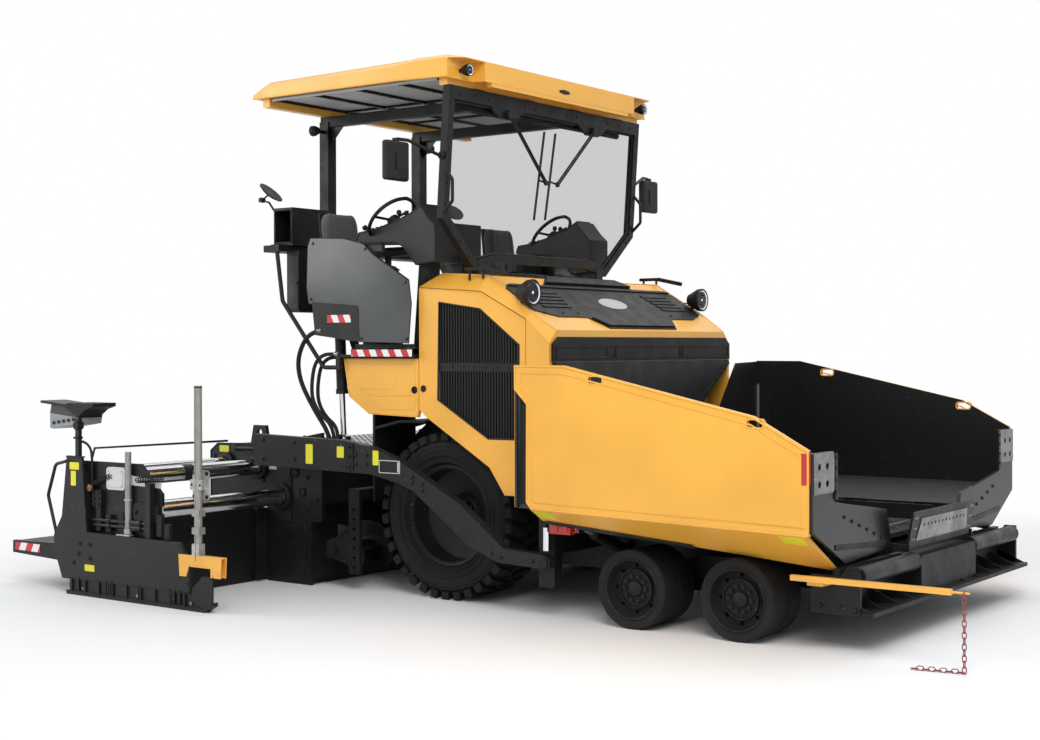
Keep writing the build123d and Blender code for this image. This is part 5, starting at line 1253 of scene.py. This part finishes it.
# Drive wheels: ribs on the sidewall, rim flanges, hub cap and nuts
for side in BOTH:
    body = "drive_wheel"
    centre = (0, 1172, 585)
    pile = Pile(side)
    for radius, along in ((385, -16), (430, -9), (492, -8)):
        pile.turned(centre, OUT, [(along - 2, radius - 7), (along + 3, radius), (along - 2, radius + 7)],
                    72)
    pile.done("sidewall_ribs", TYRE, body)
    pile.turned((0, 1122, 585), OUT, [(-6, 338), (4, 340), (7, 348), (4, 356), (0, 362)], 72)
    pile.turned((0, 1122, 585), OUT, [(-92, 322), (-84, 326), (-84, 334), (-92, 338)], 72)
    pile.turned((0, 1022, 585), OUT, [(-2, 62), (-2, 74), (10, 72), (18, 58), (20, 20), (20, 0)], 36)
    pile.bolts([(96 * a, 585 + 96 * b) for a, b in around(10)], 1024, 15, 12)
    pile.done("rim_details", BLACK_PAINT, body)

# Bogie wheels: rim ring with its segments, bolt caps and hub cap
for side in BOTH:
    for number, x in ((1, 1699), (2, 2448)):
        body = "bogie_wheel_%d" % number
        face = 1398
        pile = Pile(side)
        pile.turned((x, face, 250), OUT, [(-12, 178), (-3, 181), (1, 187), (-3, 193), (-12, 197)], 60)
        pile.turned((x, face, 250), OUT, [(-58, 112), (-50, 114), (-50, 122), (-58, 124)], 48)
        pile.bolts([(x + 187 * a, 250 + 187 * b) for a, b in around(12, 0.5)], face - 2, 4.5, 3)
        pile.bolts([(x + 78 * a, 250 + 78 * b) for a, b in around(10)], face - 48, 11, 8)
        pile.turned((x, face - 60, 250), OUT, [(-4, 0), (-4, 50), (14, 46), (20, 34), (20, 0)], 32)
        pile.done("wheel_trim_%d" % number, BLACK_PAINT, body)

# End gates and extensions: labels, bolts, skid adjusters, poles, coiled leads, clutter behind the gate
GATE_FACE = 2507
EXT_PLATE = 2435


def rounded(x0, x1, z0, z1, corner):
    """A rectangle in x and z with round corners."""
    points = []
    for cx, cz, first in ((x1 - corner, z1 - corner, 0), (x0 + corner, z1 - corner, 1),
                          (x0 + corner, z0 + corner, 2), (x1 - corner, z0 + corner, 3)):
        for i in range(5):
            turn = (first + i / 4) * pi / 2
            points.append((cx + corner * cos(turn), cz + corner * sin(turn)))
    return points


def coil(name, start, end, radius, turns, side):
    """A coiled lead wound round its guide bar, between two places on an extension."""
    wire = 4.5
    name, body = sided(name, side), sided("extension", side)
    start, end = (Vector((x, side * y, z)) for x, y, z in (start, end))
    axis = (end - start).normalized()
    side_a = axis.orthogonal().normalized() * radius
    side_b = axis.cross(side_a)
    steps = turns * 12
    points = []
    for i in range(steps + 1):
        turn = 2 * pi * i / 12
        points.append(start + (end - start) * i / steps + side_a * cos(turn) + side_b * sin(turn))
    line(name, points, wire, DARK_PLASTIC, body, smooth=True, resolution=1)
    line(name + "_bar", [start, end], wire * 0.8, DARK_STEEL, body)


for side in BOTH:
    body = "extension"
    face = GATE_FACE
    pile = Pile(side)
    for x0, x1, z0, z1 in ((-2388, -2282, 900, 952), (-2374, -2318, 784, 890), (-2221, -2114, 182, 228)):
        pile.side_plate(rounded(x0, x1, z0, z1, 6), face, 1.4)
    pile.done("gate_labels", LABEL, body, bevel=0.0004)
    for x, z in ((-2278, 372), (-2166, 371), (-2345, 232), (-2165, 273), (-2290, 300)):
        pile.turned((x, face, z), OUT, [(-1, 0), (-1, 19), (2.5, 19), (4, 16), (1, 13), (1, 0)], 24)
        pile.bolt((x, face, z), OUT, 8, 7)
    pile.bolts(((-2240, 960), (-2400, 960), (-1180, 430), (-1135, 180)), face, 8, 6)
    pile.done("gate_bolts", DARK_PLASTIC, body)
    # Folded front flange of the gate plate and its cap on the tower
    pile.side_plate([(-1222, 446), (-1214, 450), (-1116, 318), (-1116, 112), (-1124, 112), (-1124, 315)],
                    face, 3)
    pile.side_plate([(-2430, 988), (-2430, 997), (-2246, 997), (-2246, 988)], GATE_FACE + 3, -30)
    pile.side_plate([(-2415, 114), (-2415, 122), (-1130, 122), (-1130, 114)], face, 3)
    pile.done("gate_flanges", BLACK_PAINT, body, bevel=0.001)
    # Skid adjusters with slots, ribs' caps and the sole's edge
    for x in (-2290, -1990, -1940, -1640, -1330, -1270, -1215):
        pile.side_plate([(x, 26), (x + 9, 26), (x + 9, 128), (x, 128)], GATE_FACE - 4, 11)
    for x0, x1 in ((-1984, -1938), (-1324, -1268)):
        pile.side_plate(rounded(x0, x1, 34, 120, 8), GATE_FACE - 6, 8)
        pile.bolts([((x0 + x1) / 2, z) for z in (55, 100)], GATE_FACE + 2, 9, 5)
    pile.side_plate([(-2428, 26), (-2428, 31), (-1000, 31), (-990, 26)], GATE_FACE + 7, -14)
    pile.done("skid_adjusters", BLACK_PAINT, body, bevel=0.001)
    for x in (-2240, -1650, -1100):
        pile.bolt((x, GATE_FACE, 52), OUT, 9, 7)
    pile.done("skid_nuts", WORN_STEEL, body)
    # Sensor pole: grooves, cap, its clamp plate with box and screws, lever and bracket
    pole = 2487
    for z0, z1 in ((345, 515), (690, 745), (892, 1505)):
        pile.box(-1052, -1048, pole - 27.6, pole - 25, z0, z1)
        pile.box(-1052, -1048, pole + 25, pole + 27.3, z0, z1)
    pile.turned((-1050, pole, 1505), (0, 0, 1), [(-3, 27.4), (6, 27.4), (12, 24), (12, 0)], 32)
    for x, z in ((-1112, 770), (-1112, 928), (-988, 770), (-988, 928)):
        pile.turned((x, 2466, z), OUT, [(0, 9), (3, 15), (5, 15), (5, 9)], 20)
        pile.bolt((x, 2466, z), OUT, 7, 8)
    for x in (-1090, -1010):
        pile.bolt((x, 2508, 852), OUT, 7, 5)
    pile.turned((-1050, 2505, 840), OUT, [(0, 0), (0, 12), (7, 11), (9, 0)], 18)
    pile.done("pole_fittings", DARK_PLASTIC, body, bevel=0.0006)
    line("clamp_lever", [(-1050, 2508, 842), (-1047, 2507, 800), (-1040, 2506, 765)], 6, DARK_PLASTIC, body,
         side=side)
    pile.side_plate(rounded(-1130, -970, 748, 948, 20), 2457, 9)
    pile.side_plate(rounded(-1108, -992, 818, 887, 6), 2466, 43)
    pile.turned((-1800, 2462, 470), (0, 0, 1), [(0, 22), (0, 30), (34, 30), (36, 22)], 28)
    pile.turned((-1800, 2462, 700), (0, 0, 1), [(0, 22), (0, 29), (12, 29), (14, 22)], 28)
    pile.turned((-1800, 2462, 1036), (0, 0, 1), [(0, 22.4), (7, 22.4), (9, 18), (9, 0)], 28)
    pile.side_plate(rounded(-1878, -1738, 458, 466, 3), 2507, -40)
    pile.box(-1086, -1014, 2462, 2514, 378, 455)
    pile.done("pole_clamps", POLE_METAL, body, bevel=0.001)
    bracket = [(-1221, 378), (-800, 378), (-807, 240), (-875, 240), (-910, 305), (-1115, 305), (-1145, 230),
               (-1211, 230)]
    pile.side_plate(bracket, 2507.3, 6.2)
    pile.side_plate([(-1105, 378), (-800, 378), (-807, 240), (-875, 240), (-910, 305), (-1105, 305)], 2462,
                    8)
    pile.side_plate([(-1105, 370), (-1105, 378), (-800, 378), (-800, 370)], 2465, 44)
    pile.done("pole_bracket", YELLOW_PAINT, body, bevel=0.0015)
    # Junction box behind the short pole, on two stays from the extension's plate
    pile.side_plate(rounded(-2030, -1832, 770, 930, 26), EXT_PLATE, 34)
    pile.side_plate(rounded(-2012, -1850, 790, 910, 20), EXT_PLATE + 34, 5)
    pile.side_plate([(-1832, 810), (-1832, 880), (-1480, 850), (-1480, 800)], EXT_PLATE, 6)
    pile.done("junction_box", WHITE_PAINT, body, bevel=0.004)
    for x in (-2000, -1862):
        pile.bolts([(x, z) for z in (800, 900)], EXT_PLATE + 34, 6, 5)
    # Adjusting spindle, valve block, brackets and collars between the extension's plate and the gate
    for z in (512, 548):
        pile.turned((-2180, 2461, z), (1, 0, 0), [(0, 0), (0, 13), (150, 13), (150, 20), (190, 20),
                                                  (190, 13), (420, 13), (420, 22), (520, 22), (520, 12),
                                                  (630, 12), (630, 0)], 20)
    for x, z0, z1 in ((-2150, 470, 640), (-2040, 470, 590), (-1900, 470, 610), (-1640, 470, 650),
                      (-1500, 470, 620), (-1420, 455, 560)):
        pile.side_plate(rounded(x, x + 52, z0, z1, 10), EXT_PLATE + 1, 30)
    pile.side_plate(rounded(-2190, -2090, 640, 760, 14), EXT_PLATE, 32)
    pile.side_plate(rounded(-1760, -1500, 560, 690, 40), EXT_PLATE, 20)
    pile.side_plate(rounded(-2360, -2235, 470, 940, 16), EXT_PLATE + 1, 14)
    for x in (-2165, -2115):
        pile.bolts([(x, z) for z in (660, 700, 740)], EXT_PLATE + 32, 9, 10)
    for x in (-1730, -1640, -1550):
        pile.bolt((x, EXT_PLATE + 20, 625), OUT, 14, 12)
    pile.done("gate_linkage", BLACK_PAINT, body, bevel=0.002)
    pile.turned((-2196, 2470, 773), OUT, [(0, 0), (0, 26), (10, 28), (20, 24), (24, 12), (24, 0)], 28)
    pile.done("gate_knob", BRASS, body)
    coil("coiled_lead_long", (-2190, 2458, 800), (-1960, 2475, 872), 17, 9, side)
    coil("coiled_lead_short", (-1700, 2470, 850), (-1440, 2470, 868), 17, 10, side)
    coil("coiled_lead_down", (-1560, 2462, 700), (-1600, 2462, 850), 15, 6, side)
    line("tower_lead", [(-2300, 2462, 1100), (-2235, 2455, 1085), (-2195, 2455, 990), (-2200, 2458, 800)],
         9, DARK_PLASTIC, body, smooth=True, side=side)
    # Thin pipe above the extending tubes
    line("extension_pipe", [(-2240, 2425, 985), (-2236, 2405, 1052), (-2100, 1260, 1052)], 9, DARK_STEEL,
         body, side=side)
    # Rear step: striped plate and tread behind the tower
    pile.side_plate([(-3128, 262), (-3128, 318), (-2830, 318), (-2830, 258)], EXT_PLATE + 1, 2)
    pile.done("step_stripes", REFLECTOR_X, body, bevel=0.0005)
    for x in range(-3130, -2640, 42):
        for y in range(1400, 2400, 46):
            pile.box(x, x + 17, y, y + 7, 324, 328)
    pile.done("step_tread", WORN_STEEL, body)
    # Control box: hood, pale tray with buttons, and its joint on the tower's post
    hood = [(-2480, 1362), (-2400, 1378), (-2130, 1378), (-2130, 1352), (-2215, 1330), (-2300, 1275)]
    pile.side_plate(hood, 2505, -205)
    pile.done("control_box_hood", DARK_PLASTIC, body, 0.003)
    tray = [(-2640, 1300), (-2640, 1190), (-2600, 1185), (-2310, 1225), (-2301, 1270)]
    pile.side_plate(tray, 2488, -202)
    pile.done("control_box_tray", PALE_GREY_PLASTIC, body, bevel=0.004)
    for i in range(5):
        x, z = -2606 + 56 * i, 1196 + 7.2 * i
        pile.side_plate(rounded(x, x + 30, z + 22, z + 44, 5), 2488, 5)
    pile.turned((-2320, 2500, 1215), OUT, [(-44, 0), (-44, 30), (8, 30), (8, 0)], 28)
    pile.turned((-2320, 2485, 1120), (0, 0, 1), [(0, 24), (0, 34), (16, 34), (16, 24)], 4)
    pile.done("control_box_fittings", DARK_PLASTIC, body, bevel=0.001)
    # Guide plate that closes the gap between the extension's moldboard and the main screed
    pile.box(-1750, -1706, 1229, 1330, 10, 557)
    pile.box(-1782, -1748, 1229, 2405, 536, 557)
    pile.done("extension_inner_guide", BLACK_PAINT, body, bevel=0.002)
    pile.box(-1704, -1699.5, 1196, 1256, 10, 558)
    pile.done("screed_rear_lip", BLACK_PAINT, "screed", bevel=0.0008)

# Main screed: deck studs, end plate fittings, labels and the guards round the tubes
for side in BOTH:
    body = "screed"
    end = 1226
    pile = Pile(side)
    pile.side_plate(rounded(-2225, -2122, 962, 1012, 6), end, 1.4)
    pile.side_plate(rounded(-1060, -990, 930, 1072, 6), 1461, 1.4)
    pile.side_plate(rounded(-752, -684, 986, 1066, 6), 1461, 1.4)
    pile.side_plate(rounded(-409, -355, 946, 1048, 6), 1461, 1.4)
    pile.done("screed_labels", LABEL, body, bevel=0.0004)
    pile.side_plate(rounded(-1680, -1600, 848, 900, 5), end, 1.6)
    frame_in, frame_out = rounded(-345, -160, 900, 980, 6), rounded(-350, -155, 895, 985, 8)
    for i in range(20):
        j = (i + 1) % 20
        pile.side_plate([frame_out[i], frame_out[j], frame_in[j], frame_in[i]], 1461, 3)
    pile.side_plate(rounded(-178, -166, 905, 975, 3), 1461, 3.4)
    pile.done("screed_plates", WHITE_PAINT, body, bevel=0.0004)
    pile.bolts(((-572, 1011), (-467, 1016), (-571, 948), (-467, 952), (-46, 880), (-46, 840), (44, 835),
                (44, 790), (-620, 1070), (-640, 930), (-1180, 1080), (-1180, 960), (-1500, 1090),
                (-1500, 950), (640, 405), (720, 385), (980, 380)), 1460, 12, 9)
    pile.side_plate(rounded(-668, -592, 900, 1098, 8), 1459, 9)
    pile.bolts([(-630, z) for z in (930, 1000, 1070)], 1468, 12, 9)
    pile.bolts(((-1280, 560), (-1280, 800), (-1180, 640), (-1640, 420), (-1640, 220), (-1300, 420),
                (-1300, 160), (-2280, 620), (-2280, 930), (-1900, 620), (-1980, 990), (-1620, 1000),
                (-1480, 1000), (-1740, 760)), end, 13, 10)
    for x, z, radius in ((-1415, 840, 46), (-1330, 690, 34)):
        pile.turned((x, end, z), OUT, [(0, 0), (0, radius), (10, radius), (14, radius - 6),
                                       (4, radius - 12), (4, 0)], 36)
    pile.side_plate([(-1500, 470), (-1500, 780), (-1470, 812), (-1440, 812), (-1440, 470)], end, 8)
    pile.side_plate([(-1660, 60), (-1660, 300), (-1300, 340), (-1300, 60)], end, 5)
    pile.done("screed_bolts", BLACK_PAINT, body, bevel=0.0008)
    for x, z, radius in TUBES:
        outer = radius + 22
        rim = [(10, outer + 1), (10, outer + 16), (24, outer + 16), (28, outer + 8), (28, radius + 5),
               (14, radius + 5)]
        pile.turned((x, end, z), OUT, rim, 44)
        pile.bolts([(x + (outer + 8) * a, z + (outer + 8) * b) for a, b in around(8, 0.5)], end + 25, 6, 5)
    pile.done("guide_rims", BLACK_PAINT, body)
    line("end_plate_edge", at_y(end, [(-2326, 562), (-2326, 968), (-2248, 1026), (-1880, 1036)]), 5,
         BLACK_PAINT, body, side=side)
    # Lifting handle on the deck and the tensioning rod under its edge
    line("deck_handle", at_y(1150, [(-1400, 1016), (-1398, 1085), (-1380, 1105), (-1362, 1085),
                                    (-1360, 1016)]), 11, BLACK_PAINT, body, smooth=True, side=side)
    pile.turned((-2050, 1240, 1000), (1, 0, 0), [(0, 0), (0, 14), (260, 14), (270, 24), (420, 24),
                                                 (430, 12), (610, 12), (620, 20), (650, 20), (650, 0)], 24)
    for x in (-2040, -1420):
        pile.turned((x, 1225, 1000), OUT, [(0, 22), (26, 22), (28, 14), (28, 0)], 24)
    pile.done("tension_rod", DARK_STEEL, body)
pile = Pile()
for x in range(-2240, -1230, 60):
    for y in range(-1150, 1151, 58):
        pile.box(x, x + 22, y, y + 8, 1015, 1018.5)
pile.done("deck_tread", WORN_STEEL, "screed")

# Sleeve of the tow rod, the red lock box beside it and the lift cylinder's gland
for side, name in SIDES:
    pile = Pile(side)
    pile.turned((1067, 1425, 452), (0, 0, 1), [(0, 22), (0, 27), (150, 27), (152, 22)], 30)
    pile.done("tow_rod_sleeve", CHROME)
    pile.box(1125, 1290, 1420, 1476, 570, 655)
    pile.box(1145, 1195, 1476, 1484, 590, 630)
    pile.box(1225, 1272, 1476, 1484, 590, 630)
    pile.done("red_lock_box", RED_PAINT, bevel=0.006)
    pile.turned((-1012, 1130, 1468), (-0.0436, 0, 1), [(-40, 34), (-40, 46), (-6, 46), (0, 40), (6, 30),
                                                       (6, 23)], 32)
    pile.done("lift_gland", BLACK_PAINT, "lift_barrel")

# Hoses from the platform's rear down to the screed: name, radius in mm, length in m and route in mm
HOSES = (("hose_outer", 17, 1.052, [(-1121, 1265, 1893), (-1215, 1262, 1875), (-1300, 1258, 1785),
                                    (-1350, 1250, 1665), (-1330, 1245, 1530), (-1250, 1245, 1400),
                                    (-1150, 1245, 1270), (-1040, 1250, 1150), (-1000, 1262, 1060)]),
         ("hose_middle", 14, 0.904, [(-968, 1245, 1720), (-1150, 1253, 1745), (-1220, 1253, 1440),
                                     (-1140, 1250, 1290), (-975, 1256, 1190), (-952, 1275, 1065)]),
         ("hose_inner", 14, 0.874, [(-968, 1205, 1696), (-1130, 1213, 1720), (-1195, 1215, 1420),
                                    (-1115, 1215, 1270), (-945, 1235, 1180), (-922, 1272, 1065)]))


def hose(name, points, radius):
    """A hose: a smoothed round tube along a route in mm, turned into a mesh."""
    curve = tube(name, [P(*place) for place in points], radius, smooth=True)
    drawn = linked(name + "_line", curve)
    mesh = bpy.data.meshes.new_from_object(drawn.evaluated_get(bpy.context.evaluated_depsgraph_get()))
    curve.bevel_depth = 0
    bare = bpy.data.meshes.new_from_object(drawn.evaluated_get(bpy.context.evaluated_depsgraph_get()))
    bpy.data.meshes.remove(bare)
    bpy.data.objects.remove(drawn)
    mesh.name = name
    thing = linked(name, mesh)
    mesh.materials.clear()
    mesh.materials.append(PIPING)
    mesh.shade_smooth()
    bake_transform(thing)


for side, name in SIDES:
    for label, radius, length, points in HOSES:
        hose(label + "_" + name, [(x, side * y, z) for x, y, z in points], radius)
    pile = Pile()
    for label, radius, length, points in HOSES:
        x, y, z = points[0]
        pile.turned((x + 40, side * y, z), (-1, 0, 0.1), [(0, 0), (0, 22), (22, 22), (24, 19), (44, 19),
                                                          (44, 0)], 18)
    pile.done("hose_fittings_top_" + name, WORN_STEEL)
    for label, radius, length, points in HOSES:
        x, y, z = points[-1]
        pile.turned((x, side * y, z), (0.15, 0, -1), [(-16, 0), (-16, 20), (10, 20), (12, 16), (40, 16),
                                                      (40, 0)], 18)
    pile.box(-1060, -900, side * 1200, side * 1290, 1010, 1030)
    pile.done("hose_fittings_foot_" + name, WORN_STEEL, "screed", bevel=0.001)
